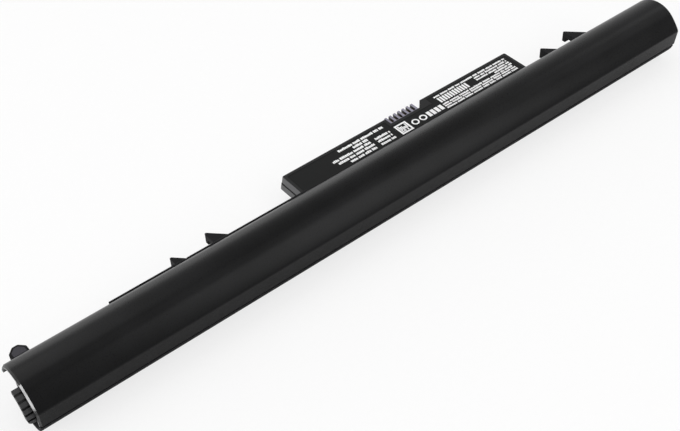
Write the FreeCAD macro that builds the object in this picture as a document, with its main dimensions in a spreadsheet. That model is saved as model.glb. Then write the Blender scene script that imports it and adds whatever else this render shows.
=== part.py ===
import FreeCAD, Part
import math
import os
import re

import Sketcher
from FreeCAD import Vector

# A bar-shaped laptop battery: four round cells in a row under a domed cover, and a flat board panel
# with a slotted connector beside them. +X runs along the row of cells, +Y points to the board panel and
# +Z is up. The origin lies on the flat underside, below the cells' axis, halfway along the cover.

CELLS = 4
TONGUE_RIBS = 6
SLOTS = 6
CAPACITORS = 5
CHIP_LEGS = 7

# Driving dimensions, in millimetres and degrees
SIZES = {
    # Cells, and the room round them
    "cell_diameter": 18.4,
    "cell_length": 65.0,
    "cell_gap": 0.2,
    "can_bevel": 0.6,
    "cap_radius": 4.0,
    "crimp_width": 2.4,
    "crimp_depth": 0.7,
    # Shell of the bar
    "wall": 1.0,
    "seam_gap": 0.15,
    "lip_angle": 14.0,
    "shoulder_angle": 132.0,
    "shoulder_radius": 24.0,
    "crease_proud": 0.6,
    "crease_round": 0.5,
    "facet_height": 6.3,
    "facet_lean": 0.65,
    "end_round": 0.8,
    "flat_reach": 1.0,
    "back_proud": 0.2,
    "back_corner": 4.0,
    "near_recess": 2.4,
    "far_recess": 0.9,
    "skirt_recess": 0.1,
    # Saddles that hold the cells
    "saddle_inset": 9.0,
    "saddle_thick": 1.2,
    "saddle_gap": 0.1,
    "saddle_end": 300.0,
    # Grooved tongue at the near end
    "tongue_reach": 2.4,
    "tongue_thick": 1.6,
    "tongue_top": 111.5,
    "tongue_span": 76.0,
    "tongue_round": 2.0,
    "groove_width": 0.7,
    "groove_depth": 0.6,
    # Guide rail, hooks and lug on the back wall
    "rail_length": 74.4,
    "rail_thick": 1.0,
    "rail_rise": 3.7,
    "rail_drop": 3.0,
    "rail_slot": 0.9,
    "rail_slot_place": 46.9,
    "hook_rise": 1.2,
    "hook_thick": 4.0,
    "hook_blunt": 0.6,
    "hook_spacing": 14.2,
    "near_hook_place": 35.8,
    "far_hook_place": 9.3,
    "small_reach": 6.4,
    "big_reach": 8.2,
    "barb_length": 1.5,
    "arm_thick": 2.0,
    "lug_place": 4.2,
    "lug_width": 5.7,
    "lug_reach": 6.3,
    "lug_chamfer": 1.9,
    "lug_thick": 3.0,
    # Board panel
    "panel_offset": 27.95,
    "panel_width": 104.2,
    "panel_depth": 15.5,
    "panel_drop": 1.1,
    "panel_thick": 5.4,
    "panel_base": 2.6,
    "panel_draft": 8.5,
    "panel_corner": 0.8,
    "lid_round": 0.3,
    "window_width": 4.0,
    # Label film
    "label_margin": 1.2,
    "label_recess": 0.15,
    "label_film": 0.1,
    "label_fit": 0.1,
    # Connector and contacts
    "contact_pitch": 2.0,
    "slot_width": 1.0,
    "slot_length": 3.4,
    "notch_depth": 3.2,
    "notch_flare": 3.6,
    "connector_fit": 0.15,
    "connector_depth": 9.0,
    "connector_sink": 0.4,
    "contact_thick": 0.2,
    "contact_cover": 0.5,
    "contact_inset": 0.6,
    "contact_tail": 1.6,
    "contact_gap": 0.05,
    # Board and what sits on it
    "board_thick": 0.8,
    "board_gap": 0.1,
    "board_side_gap": 1.2,
    "solder": 0.05,
    "chip_inset": 26.7,
    "chip_length": 7.8,
    "chip_width": 4.4,
    "chip_height": 1.2,
    "leg_length": 1.0,
    "leg_thick": 0.3,
    "capacitor_length": 1.6,
    "capacitor_width": 0.8,
    "capacitor_height": 0.8,
    "capacitor_gap": 1.2,
    "switch_inset": 19.7,
    "switch_length": 5.0,
    "switch_width": 6.0,
    "switch_height": 1.1,
    "switch_gap": 1.0,
    "fuse_inset": 5.7,
    "fuse_length": 3.2,
    "fuse_width": 4.0,
    "fuse_height": 1.4,
    "shunt_inset": 8.7,
    "shunt_length": 6.4,
    "shunt_width": 3.2,
    "shunt_height": 0.6,
    # Strips, wires and pads
    "strip_thick": 0.15,
    "strip_fit": 0.05,
    "strip_headroom": 0.3,
    "fold_gap": 0.2,
    "strip_landing": 3.5,
    "bus_inset": 4.0,
    "bus_gap": 0.1,
    "link_height": 10.0,
    "link_width": 6.0,
    "ring_thick": 0.2,
    "ring_edge": 0.2,
    "pad_thick": 0.4,
    "pad_radius": 7.0,
    "wire_diameter": 0.9,
    "wire_bend": 2.0,
    "wire_inset": 1.7,
    "wire_drop": 1.6,
    "wire_run": 13.5,
    "bead_diameter": 1.5,
    "bead_length": 2.0,
    "bead_angle": -38.0,
}

# What follows from the driving dimensions
WORKED = {
    "shell_radius": "cell_diameter / 2 + cell_gap + wall",
    "bore_radius": "shell_radius - wall",
    "axis_height": "shell_radius",
    "cap_rise": "ring_thick + strip_fit",
    "link_gap": "2 * strip_thick + 2 * strip_fit + fold_gap",
    "end_gap": "strip_thick + pad_thick + 3 * strip_fit",
    "cell_pitch": "cell_length + link_gap",
    "row_length": f"{CELLS} * cell_length + {CELLS - 1} * link_gap",
    "trough_length": "row_length + 2 * end_gap + 2 * wall",
    "cover_length": "trough_length + near_recess + far_recess",
    "cover_start": "-cover_length / 2",
    "trough_start": "cover_start + near_recess",
    "skirt_start": "cover_start + skirt_recess",
    "row_start": "trough_start + wall + end_gap",
    # Shoulder, crease and facet of the cover
    "shoulder_y": "(shell_radius - shoulder_radius) * cos(shoulder_angle)",
    "shoulder_z": "axis_height + (shell_radius - shoulder_radius) * sin(shoulder_angle)",
    "crease_y": "-shell_radius - crease_proud",
    "crease_z": "shoulder_z + sqrt(shoulder_radius ^ 2 - (crease_y - shoulder_y) ^ 2)",
    "crease_inner_y": "crease_y + wall",
    "crease_inner_z": "shoulder_z + sqrt((shoulder_radius - wall) ^ 2 - (crease_inner_y - shoulder_y) ^ 2)",
    "foot_y": "crease_y + facet_lean",
    "foot_z": "crease_z - facet_height",
    # Section of the tray
    "front_top": "foot_z - seam_gap",
    "front_radius": "((foot_y + flat_reach) ^ 2 + front_top ^ 2) / (2 * front_top)",
    "back_y": "shell_radius + back_proud",
    "back_top": "axis_height + bore_radius * sin(lip_angle) - seam_gap",
    "plug_radius": "bore_radius - seam_gap",
    "saddle_radius": "cell_diameter / 2 + saddle_gap",
    "saddle_top": "front_top - seam_gap",
    "tongue_inner": "plug_radius - tongue_thick",
    "groove_radius": "plug_radius - groove_depth",
    "groove_angle": "groove_width / plug_radius * 180 / pi",
    "rib_pitch": f"(tongue_span + groove_angle) / {TONGUE_RIBS}",
    # Panel
    "panel_top": "axis_height - panel_drop",
    "panel_bottom": "panel_top - panel_thick",
    "panel_part": "panel_bottom + panel_base",
    "panel_spread": "panel_thick * tan(panel_draft)",
    "base_spread": "panel_base * tan(panel_draft)",
    "lid_spread": "panel_spread - base_spread",
    "panel_near": "panel_offset - panel_width / 2",
    "panel_far": "panel_offset + panel_width / 2",
    "panel_edge": "back_y + panel_depth",
    "floor_top": "panel_bottom + wall",
    "ceiling": "panel_top - wall",
    # Connector, in the middle of the panel's outer edge
    "connector_width": f"{SLOTS} * contact_pitch + contact_pitch - slot_width",
    "connector_near": "panel_offset - connector_width / 2",
    "connector_far": "panel_offset + connector_width / 2",
    "connector_front": "panel_edge + panel_spread",
    "notch_y": "panel_edge - notch_depth",
    "block_y": "notch_y + connector_fit",
    "connector_rear": "connector_front - connector_depth",
    "slot_rear": "connector_front - slot_length",
    # Board, strips and wires
    "board_bottom": "floor_top + board_gap",
    "board_top": "board_bottom + board_thick",
    "board_back": "back_y + board_side_gap / 2",
    "board_front": "block_y - connector_fit",
    "board_middle": "(board_back + board_front) / 2",
    "strip_bottom": "board_top + solder",
    "strip_width": "ceiling - strip_bottom - strip_headroom",
    "contact_height": "ceiling - board_top - contact_cover",
    "bus_y": "back_y - wall - strip_thick - bus_gap",
    "landing_y": "back_y + strip_landing",
    "bus_near": "panel_near + bus_inset",
    "bus_far": "panel_far - bus_inset",
    "wire_low_y": "back_y - wall - wire_inset",
    "wire_low_z": "board_top - wire_drop",
    "wire_high_y": "back_y - wall - strip_thick - wire_diameter / 2",
    "wire_high_z": "board_top + solder + wire_diameter / 2",
}

doc = FreeCAD.newDocument("laptop_battery")
sheet = doc.addObject("Spreadsheet::Sheet", "Sizes")
for row, (alias, number) in enumerate(SIZES.items(), start=1):
    sheet.set(f"A{row}", alias)
    sheet.set(f"B{row}", str(number))
    sheet.setAlias(f"B{row}", alias)
doc.recompute()


def bound(text):
    """The text as an expression: each known name gets the object that holds it."""

    def with_owner(match):
        name = match.group(0)
        if name in SIZES:
            return "Sizes." + name
        return "Worked." + name if name in WORKED else name

    return re.sub(r"[a-z][a-z_0-9]*", with_owner, text)


worked = doc.addObject("App::VarSet", "Worked")
for alias in WORKED:
    worked.addProperty("App::PropertyFloat", alias, "Worked")
for alias, formula in WORKED.items():
    worked.setExpression(alias, bound(formula))
doc.recompute()


def value(text):
    return float(worked.evalExpression(bound(text)))


def new_body(label):
    body = doc.addObject("PartDesign::Body", label)
    body.Label = label
    return body


def origin_feature(body, role):
    return next(f for f in body.Origin.OriginFeatures if f.Role == role)


def draw(sketch, outline):
    """Draw a closed outline. Each entry is a corner (x, y), reached by a line from the corner before it,
    or (x, y, radius), reached by an arc that turns left if the radius is positive and right if not."""
    first = sketch.GeometryCount
    corners = [Vector(value(entry[0]), value(entry[1]), 0) for entry in outline]
    ends = []
    for place, entry in enumerate(outline):
        start, end = corners[place - 1], corners[place]
        if len(entry) == 2:
            sketch.addGeometry(Part.LineSegment(start, end), False)
            ends.append((1, 2))
            continue
        radius = value(entry[2])
        chord = end - start
        inward = Vector(-chord.y, chord.x, 0).normalize() * math.copysign(1, radius)
        rise = math.sqrt(max(radius**2 - chord.Length**2 / 4, 0))
        middle = (start + end) / 2 + inward * (rise - abs(radius))
        sketch.addGeometry(Part.Arc(start, middle, end), False)
        ends.append((1, 2) if radius > 0 else (2, 1))
    for place, entry in enumerate(outline):
        here, following = first + place, first + (place + 1) % len(outline)
        end, start = ends[place][1], ends[(place + 1) % len(outline)][0]
        sketch.addConstraint(Sketcher.Constraint("Coincident", here, end, following, start))
        for kind, text, now in zip(("DistanceX", "DistanceY"), entry, corners[place]):
            number = sketch.addConstraint(Sketcher.Constraint(kind, here, end, now))
            sketch.setExpression(f"Constraints[{number}]", bound(text))
        if len(entry) == 3:
            number = sketch.addConstraint(Sketcher.Constraint("Radius", here, abs(value(entry[2]))))
            sketch.setExpression(f"Constraints[{number}]", f"abs({bound(entry[2])})")


def new_sketch(body, plane, offset, *outlines):
    """A sketch parallel to one of the body's origin planes: XY looks down Z, YZ looks along X."""
    sketch = body.newObject("Sketcher::SketchObject", "Sketch")
    sketch.AttachmentSupport = [(origin_feature(body, plane + "_Plane"), "")]
    sketch.MapMode = "FlatFace"
    sketch.setExpression("AttachmentOffset.Base.z", bound(offset))
    for outline in outlines:
        draw(sketch, outline)
    return sketch


def pad(body, sketch, length, taper=None, centred=False):
    feature = body.newObject("PartDesign::Pad", "Pad")
    feature.Profile = sketch
    feature.Midplane = centred
    feature.setExpression("Length", bound(length))
    if taper:
        feature.setExpression("TaperAngle", bound(taper))
    return feature


def pocket(body, sketch, depth):
    """Cut against the sketch's normal: down from an XY sketch, towards -X from a YZ sketch."""
    feature = body.newObject("PartDesign::Pocket", "Pocket")
    feature.Profile = sketch
    feature.setExpression("Length", bound(depth))
    return feature


def fillet(body, radius, chosen):
    """Round the edges of the body's last feature that chosen(middle, edge) picks out."""
    doc.recompute()
    base = body.Tip
    names = []
    for number, edge in enumerate(base.Shape.Edges, start=1):
        middle = edge.valueAt((edge.FirstParameter + edge.LastParameter) / 2)
        if chosen(middle, edge):
            names.append(f"Edge{number}")
    feature = body.newObject("PartDesign::Fillet", "Fillet")
    feature.Base = (base, names)
    feature.setExpression("Radius", bound(radius))
    return feature


def repeat(body, features, span, count):
    """Repeat features along X, count times over a span, with the first and last included."""
    pattern = body.newObject("PartDesign::LinearPattern", "LinearPattern")
    pattern.Originals = features
    pattern.Direction = (origin_feature(body, "X_Axis"), [""])
    pattern.setExpression("Length", bound(span))
    pattern.Occurrences = count
    body.Tip = pattern
    return pattern


def place(thing, x="0", y="0", z="0"):
    for axis, text in zip("xyz", (x, y, z)):
        thing.setExpression(f"Placement.Base.{axis}", bound(text))


def rectangle(x_low, x_high, y_low, y_high):
    return [(x_low, y_low), (x_high, y_low), (x_high, y_high), (x_low, y_high)]


def polar(radius, angle):
    """A point of the bar's cross-section, by its radius and angle about the cells' axis."""
    return f"({radius}) * cos({angle})", f"axis_height + ({radius}) * sin({angle})"


def spans(edge, axis):
    """Whether an edge runs parallel to an axis."""
    box = edge.BoundBox
    lengths = {"x": box.XLength, "y": box.YLength, "z": box.ZLength}
    return all(length < 1e-4 for name, length in lengths.items() if name != axis)


def make_outer_cover():
    cover = new_body("outer_cover")
    section = [
        polar("shell_radius", "lip_angle"),
        (*polar("shell_radius", "shoulder_angle"), "shell_radius"),
        ("crease_y", "crease_z", "shoulder_radius"),
        ("foot_y", "foot_z"),
        ("foot_y + wall", "foot_z"),
        ("crease_inner_y", "crease_inner_z"),
        (*polar("bore_radius", "shoulder_angle"), "wall - shoulder_radius"),
        (*polar("bore_radius", "lip_angle"), "-bore_radius"),
    ]
    pad(cover, new_sketch(cover, "YZ", "cover_start", section), "cover_length")
    crease = value("crease_y")
    fillet(cover, "crease_round", lambda middle, edge: spans(edge, "x") and middle.y < crease + 1e-3)
    axis, outer = value("axis_height"), value("shell_radius - wall / 3")
    half, foot = value("cover_length / 2"), value("foot_z")

    def on_outer_rim(middle, edge):
        at_end = edge.BoundBox.XLength < 1e-4 and abs(abs(middle.x) - half) < 1e-4
        return at_end and middle.z > foot + 1e-3 and math.hypot(middle.y, middle.z - axis) > outer

    fillet(cover, "min(end_round; 0.8 * wall)", on_outer_rim)
    return cover


def front_wall(inset, height):
    """A point of the tray's front wall at a height, set in from outside."""
    across = f"sqrt((front_radius - {inset}) ^ 2 - (front_radius - {height}) ^ 2)"
    return f"-flat_reach - {across}", height


def tray_section(inset):
    """The lower part of the tray's section, from the back wall round to the front, set in from outside."""
    return [
        (f"back_y - {inset}", "back_top"),
        ("sqrt(plug_radius ^ 2 - (back_top - axis_height) ^ 2)", "back_top"),
        ("0", "axis_height + plug_radius", "plug_radius"),
        ("-sqrt(plug_radius ^ 2 - (front_top - axis_height) ^ 2)", "front_top", "plug_radius"),
        front_wall(inset, "front_top"),
        ("-flat_reach", inset, f"front_radius - {inset}"),
        ("back_y - back_corner", inset),
        (f"back_y - {inset}", "back_corner", f"back_corner - {inset}"),
    ]


def hook_outline(face, reach):
    """A hook in plan: a face square to the bar, a blunt tip, and a slope back to the wall."""
    root = "(back_y - wall / 2)"
    tip = f"(back_y + {reach})"
    return [
        (face, root),
        (f"{face} + hook_blunt + {tip} - {root}", root),
        (f"{face} + hook_blunt", tip),
        (face, tip),
    ]


def panel_outline(spread):
    """The panel in plan, wider than its top outline by a spread, with its outer corners rounded."""
    near, far, edge = f"(panel_near - {spread})", f"(panel_far + {spread})", f"(panel_edge + {spread})"
    root = "back_y - wall / 2"
    return [
        (near, root),
        (far, root),
        (far, f"{edge} - panel_corner"),
        (f"{far} - panel_corner", edge, "panel_corner"),
        (f"{near} + panel_corner", edge),
        (near, f"{edge} - panel_corner", "panel_corner"),
    ]


def notch_outline():
    """The opening for the connector in the panel's outer edge, flared on its far side."""
    beyond = "connector_front + wall"
    return [
        ("connector_near - connector_fit", "notch_y"),
        ("connector_far + connector_fit", "notch_y"),
        ("connector_far + connector_fit + notch_flare", "connector_front"),
        ("connector_far + connector_fit + notch_flare", beyond),
        ("connector_near - connector_fit", beyond),
    ]


def make_tray():
    tray = new_body("tray")
    section = [
        ("foot_y", "front_top"),
        ("-flat_reach", "0", "front_radius"),
        ("back_y - back_corner", "0"),
        ("back_y", "back_corner", "back_corner"),
        ("back_y", "back_top"),
        ("back_y - wall", "back_top"),
        ("back_y - wall", "back_corner"),
        ("back_y - back_corner", "wall", "wall - back_corner"),
        ("-flat_reach", "wall"),
        (*front_wall("wall", "front_top"), "wall - front_radius"),
    ]
    pad(tray, new_sketch(tray, "YZ", "trough_start", section), "trough_length")
    for end in ("trough_start", "trough_start + trough_length - wall"):
        pad(tray, new_sketch(tray, "YZ", end, tray_section("wall / 2")), "wall")
    skirt = section[:2] + [("-flat_reach", "wall"), section[-1]]
    pad(tray, new_sketch(tray, "YZ", "skirt_start", skirt), "near_recess - skirt_recess")
    add_saddles(tray)
    add_tongue(tray)
    add_rail(tray)
    add_hooks(tray)
    add_panel_base(tray)
    return tray


def add_saddles(tray):
    """Two ribs under each cell, cut to the cell's round."""
    end_y, end_z = polar("saddle_radius", "saddle_end")
    outline = [
        front_wall("wall / 2", "saddle_top"),
        ("-flat_reach", "wall / 2", "front_radius - wall / 2"),
        (end_y, "wall / 2"),
        (end_y, end_z),
        ("-sqrt(saddle_radius ^ 2 - (axis_height - saddle_top) ^ 2)", "saddle_top", "-saddle_radius"),
    ]
    first = "row_start + saddle_inset"
    last = "row_start + cell_length - saddle_inset - saddle_thick"
    ribs = [pad(tray, new_sketch(tray, "YZ", at, outline), "saddle_thick") for at in (first, last)]
    repeat(tray, ribs, f"{CELLS - 1} * cell_pitch", CELLS)


def add_tongue(tray):
    """The tongue under the cover's near rim: part of a ring, with grooves that run along the bar."""
    outline = []
    for rib in range(TONGUE_RIBS):
        start = f"(tongue_top + {rib} * rib_pitch)"
        end = f"({start} + rib_pitch - groove_angle)"
        outline += [polar("plug_radius", start), (*polar("plug_radius", end), "plug_radius")]
        if rib < TONGUE_RIBS - 1:
            outline += [polar("groove_radius", end), polar("groove_radius", f"{start} + rib_pitch")]
    foot = "tongue_top + tongue_span"
    outline += [polar("tongue_inner", foot), (*polar("tongue_inner", "tongue_top"), "-tongue_inner")]
    sketch = new_sketch(tray, "YZ", "cover_start - tongue_reach", outline)
    pad(tray, sketch, "tongue_reach + near_recess + wall / 2")
    free_end = value("cover_start - tongue_reach")
    foot_y, foot_z = (value(text) for text in polar("plug_radius - tongue_thick / 2", foot))

    def at_foot_corner(middle, edge):
        near_foot = math.hypot(middle.y - foot_y, middle.z - foot_z) < 1e-3
        return near_foot and abs(middle.x - free_end) < 1e-4

    fillet(tray, "min(tongue_round; 0.9 * tongue_reach)", at_foot_corner)


def add_rail(tray):
    """A fin along the back wall, from its free end to the panel, with a narrow slot beside a hook."""
    outer, low = "back_y + rail_thick", "axis_height - rail_drop"
    outline = [
        ("back_y - wall / 2", low),
        (outer, low),
        (outer, "axis_height + rail_rise"),
        ("back_y", "axis_height + rail_rise"),
        ("back_y", "back_top"),
        ("back_y - wall / 2", "back_top"),
    ]
    slot_end = "panel_near - rail_slot_place"
    pad(
        tray,
        new_sketch(tray, "YZ", "panel_near - rail_length", outline),
        "rail_length - rail_slot_place - rail_slot",
    )
    pad(tray, new_sketch(tray, "YZ", slot_end, outline), "rail_slot_place - lid_spread - seam_gap")


def add_hooks(tray):
    """Two pairs of hooks, a small one and a barbed big one, and the lug near the free end."""
    near_big = "panel_near - near_hook_place"
    far_small = "panel_far + far_hook_place"
    bottom = "axis_height + hook_rise - hook_thick"
    small = [hook_outline(face, "small_reach") for face in (f"{near_big} - hook_spacing", far_small)]
    big = [hook_outline(face, "big_reach") for face in (near_big, f"{far_small} + hook_spacing")]
    pad(tray, new_sketch(tray, "XY", bottom, *small, *big), "hook_thick")
    arm_bottom = "axis_height + hook_rise - arm_thick"
    under_arms = [
        rectangle(
            f"{face} - hook_blunt",
            f"{face} + hook_blunt + big_reach + wall",
            "back_y + rail_thick",
            "back_y + big_reach - barb_length",
        )
        for face in (near_big, f"{far_small} + hook_spacing")
    ]
    pocket(tray, new_sketch(tray, "XY", arm_bottom, *under_arms), "hook_thick - arm_thick")
    near, far = "cover_start + lug_place", "cover_start + lug_place + lug_width"
    tip = "back_y + lug_reach"
    lug = [
        (near, "back_y - wall / 2"),
        (far, "back_y - wall / 2"),
        (far, f"{tip} - lug_chamfer"),
        (f"{far} - lug_chamfer", tip),
        (f"{near} + lug_chamfer", tip),
        (near, f"{tip} - lug_chamfer"),
    ]
    pad(tray, new_sketch(tray, "XY", "axis_height + hook_rise - lug_thick", lug), "lug_thick")


def add_panel_base(tray):
    """The lower half of the board panel, open to the trough through windows in the back wall."""
    base = new_sketch(tray, "XY", "panel_bottom", panel_outline("panel_spread"))
    pad(tray, base, "panel_base", taper="-panel_draft")
    inside = rectangle(
        "panel_near - lid_spread + wall",
        "panel_far + lid_spread - wall",
        "back_y",
        "panel_edge + lid_spread - wall",
    )
    pocket(tray, new_sketch(tray, "XY", "panel_part", inside), "panel_base - wall")
    pocket(tray, new_sketch(tray, "XY", "panel_part", notch_outline()), "panel_base - wall")
    for middle in window_places():
        window = rectangle("back_y - 2 * wall", "back_y + wall / 2", "floor_top", "ceiling")
        start = new_sketch(tray, "YZ", f"{middle} + window_width / 2", window)
        pocket(tray, start, "window_width")


def link_middle(number):
    """The middle of the gap after a cell, counted from 1."""
    return f"(row_start + {number} * cell_pitch - link_gap / 2)"


def wire_window(start):
    """Where a wire that starts beside the cells goes through the back wall."""
    return f"({start} + wire_run)"


def window_places():
    taps = [link_middle(2), link_middle(3)]
    wires = [wire_window("bus_near"), wire_window("panel_offset")]
    return ["bus_near", "bus_far", *taps, *wires]


def make_board_lid():
    lid = new_body("board_lid")
    plan = panel_outline("lid_spread")
    plan[0] = (plan[0][0], "back_y + seam_gap")
    plan[1] = (plan[1][0], "back_y + seam_gap")
    height = "panel_top - panel_part - seam_gap"
    pad(lid, new_sketch(lid, "XY", "panel_part + seam_gap", plan), height, taper="-panel_draft")
    top, edge = value("panel_top"), value("back_y + wall")
    fillet(lid, "lid_round", lambda middle, _: abs(middle.z - top) < 1e-4 and middle.y > edge)
    inside = rectangle("panel_near + wall", "panel_far - wall", "back_y", "panel_edge - wall")
    pocket(lid, new_sketch(lid, "XY", "ceiling", inside), "ceiling - panel_part")
    pocket(lid, new_sketch(lid, "XY", "panel_top", notch_outline()), "panel_thick")
    pocket(lid, new_sketch(lid, "XY", "panel_top", label_outline("0")), "label_recess")
    return lid


def label_outline(fit):
    """The label in plan: the lid's top less a margin, stepped back round the connector."""
    margin = f"(label_margin + {fit})"
    near, far, edge = f"panel_near + {margin}", f"panel_far - {margin}", f"panel_edge - {margin}"
    back = f"back_y + panel_spread + {margin}"
    step = f"notch_y - {margin}"
    step_near = f"connector_near - connector_fit - {margin}"
    step_far = f"connector_far + connector_fit + notch_flare + {margin}"
    return [
        (near, back),
        (far, back),
        (far, edge),
        (step_far, edge),
        (step_far, step),
        (step_near, step),
        (step_near, edge),
        (near, edge),
    ]


def make_label():
    label = new_body("label")
    film = new_sketch(label, "XY", "panel_top - label_recess", label_outline("label_fit"))
    pad(label, film, "label_film")
    return label


def make_connector_housing():
    housing = new_body("connector_housing")
    block = rectangle("connector_near", "connector_far", "block_y", "connector_front")
    pad(
        housing,
        new_sketch(housing, "XY", "floor_top + board_gap", block),
        "panel_top - connector_sink - floor_top - board_gap",
    )
    rear = rectangle("connector_near", "connector_far", "connector_rear", "block_y + wall")
    pad(housing, new_sketch(housing, "XY", "board_top", rear), "ceiling - board_gap - board_top")
    first = "connector_near + contact_pitch - slot_width / 2"
    slot = rectangle(
        f"{first} - slot_width / 2", f"{first} + slot_width / 2", "slot_rear", "connector_front + wall"
    )
    opening = pocket(housing, new_sketch(housing, "XY", "panel_top", slot), "panel_top - board_top")
    half_channel = "(contact_thick / 2 + contact_gap)"
    channel = rectangle(
        f"{first} - {half_channel}",
        f"{first} + {half_channel}",
        "connector_rear - wall",
        "slot_rear + wall",
    )
    top = "board_top + contact_height + contact_gap"
    passage = pocket(housing, new_sketch(housing, "XY", top, channel), "contact_height + contact_gap")
    repeat(housing, [opening, passage], f"{SLOTS - 1} * contact_pitch", SLOTS)
    return housing


def make_contacts():
    contacts = new_body("contacts")
    contacts.AllowCompound = True
    middle = "connector_near + contact_pitch - slot_width / 2"
    tail, outer, inner = (
        "contact_thick / 2",
        "(slot_width / 2 - contact_gap)",
        "(slot_width / 2 - contact_gap - contact_thick)",
    )
    rear, tip = "connector_rear - contact_tail", "connector_front - contact_inset"
    bridge, crotch = "slot_rear + contact_gap", "slot_rear + contact_gap + contact_thick"
    half = [(tail, rear), (tail, bridge), (outer, bridge), (outer, tip), (inner, tip), (inner, crotch)]
    right = [(f"{middle} + {x}", y) for x, y in half]
    left = [(f"{middle} - {x}", y) for x, y in reversed(half)]
    fork = pad(contacts, new_sketch(contacts, "XY", "board_top", right + left), "contact_height")
    repeat(contacts, [fork], f"{SLOTS - 1} * contact_pitch", SLOTS)
    return contacts


def make_cell(number):
    """A round cell: a can with bevelled edges, a crimped rim and a raised positive cap."""
    cell = new_body(f"cell_{number}")
    radius, rim = "cell_diameter / 2", "(cell_length - cap_rise)"
    profile = [
        ("0", "0"),
        ("cell_length", "0"),
        ("cell_length", "cap_radius"),
        (f"{rim} - crimp_depth", "cap_radius"),
        (f"{rim} - crimp_depth", f"{radius} - crimp_width"),
        (rim, f"{radius} - crimp_width"),
        (rim, f"{radius} - can_bevel"),
        (f"{rim} - can_bevel", radius),
        ("can_bevel", radius),
        ("0", f"{radius} - can_bevel"),
    ]
    turned = cell.newObject("PartDesign::Revolution", "Revolution")
    turned.Profile = new_sketch(cell, "XZ", "0", profile)
    turned.ReferenceAxis = (turned.Profile[0], ["H_Axis"])
    place(cell, f"row_start + {number - 1} * cell_pitch", z="axis_height")
    return cell


def make_insulator_rings():
    rings = new_body("insulator_rings")
    rings.AllowCompound = True
    sketch = new_sketch(rings, "YZ", "row_start + cell_length - cap_rise")
    for radius in ("cap_radius + ring_edge", "cell_diameter / 2 - can_bevel"):
        drawn = Part.Circle(Vector(0, value("axis_height"), 0), Vector(0, 0, 1), value(radius))
        circle = sketch.addGeometry(drawn)
        sketch.addConstraint(Sketcher.Constraint("PointOnObject", circle, 3, -2))
        height = sketch.addConstraint(Sketcher.Constraint("DistanceY", circle, 3, value("axis_height")))
        sketch.setExpression(f"Constraints[{height}]", bound("axis_height"))
        size = sketch.addConstraint(Sketcher.Constraint("Radius", circle, value(radius)))
        sketch.setExpression(f"Constraints[{size}]", bound(radius))
    ring = pad(rings, sketch, "ring_thick")
    repeat(rings, [ring], f"{CELLS - 1} * cell_pitch", CELLS)
    return rings


def make_series_link(number):
    """A strip folded over between two cells, with a tail that is tapped by the board."""
    link = new_body(f"series_link_{number}")
    middle = link_middle(number)
    outer = "(link_gap / 2 - strip_fit)"
    inner = "(link_gap / 2 - strip_fit - strip_thick)"
    low, high = "axis_height - link_height / 2", "axis_height + link_height / 2"
    fold = [
        (f"{middle} - {outer}", low),
        (f"{middle} - {inner}", low),
        (f"{middle} - {inner}", f"{high} - strip_thick"),
        (f"{middle} + {inner}", f"{high} - strip_thick"),
        (f"{middle} + {inner}", low),
        (f"{middle} + {outer}", low),
        (f"{middle} + {outer}", high),
        (f"{middle} - {outer}", high),
    ]
    pad(link, new_sketch(link, "XZ", "0", fold), "link_width", centred=True)
    if number == 1:
        tail = [
            ("0", low),
            ("wire_low_y", "wire_low_z - wire_diameter"),
            ("wire_low_y + wire_diameter", "wire_low_z - wire_diameter / 2"),
            ("wire_low_y + wire_diameter", "wire_low_z + wire_diameter / 2"),
            ("wire_low_y", "wire_low_z + wire_diameter"),
            ("link_width / 2", "axis_height"),
            ("0", "axis_height"),
        ]
    else:
        tail = rectangle("0", "landing_y", "strip_bottom", "strip_bottom + strip_width")
    pad(link, new_sketch(link, "YZ", f"{middle} + {inner}", tail), "strip_thick")
    return link


def make_bus(label, weld, along, side):
    """A strip from one end of the row to the board: across the cell's end, along the wall, and in.

    weld is the strip's face on the cell's end, along is where it turns in, and side is + or - for the
    direction from that face to the end wall."""
    bus = new_body(label)
    back = "-" if side == "+" else "+"
    end_out, end_in = f"{weld} {side} strip_thick", weld
    turn_out, turn_in = f"{along} {back} strip_thick", along
    outline = [
        (end_out, "-cap_radius"),
        (end_out, "bus_y + strip_thick"),
        (turn_in, "bus_y + strip_thick"),
        (turn_in, "landing_y"),
        (turn_out, "landing_y"),
        (turn_out, "bus_y"),
        (end_in, "bus_y"),
        (end_in, "-cap_radius"),
    ]
    pad(bus, new_sketch(bus, "XY", "strip_bottom", outline), "strip_width")
    return bus


def make_end_pad(label, start):
    """A foam disc between the row of cells and an end wall."""
    disc = doc.addObject("Part::Cylinder", label)
    disc.Label = label
    disc.setExpression("Radius", bound("pad_radius"))
    disc.setExpression("Height", bound("pad_thick"))
    disc.Placement = FreeCAD.Placement(Vector(), FreeCAD.Rotation(Vector(0, 1, 0), 90))
    place(disc, start, z="axis_height")
    return disc


def make_circuit_board():
    board = new_body("circuit_board")
    plan = rectangle(
        "panel_near + wall + board_side_gap",
        "panel_far - wall - board_side_gap",
        "board_back",
        "board_front",
    )
    pad(board, new_sketch(board, "XY", "board_bottom", plan), "board_thick")
    return board


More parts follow.
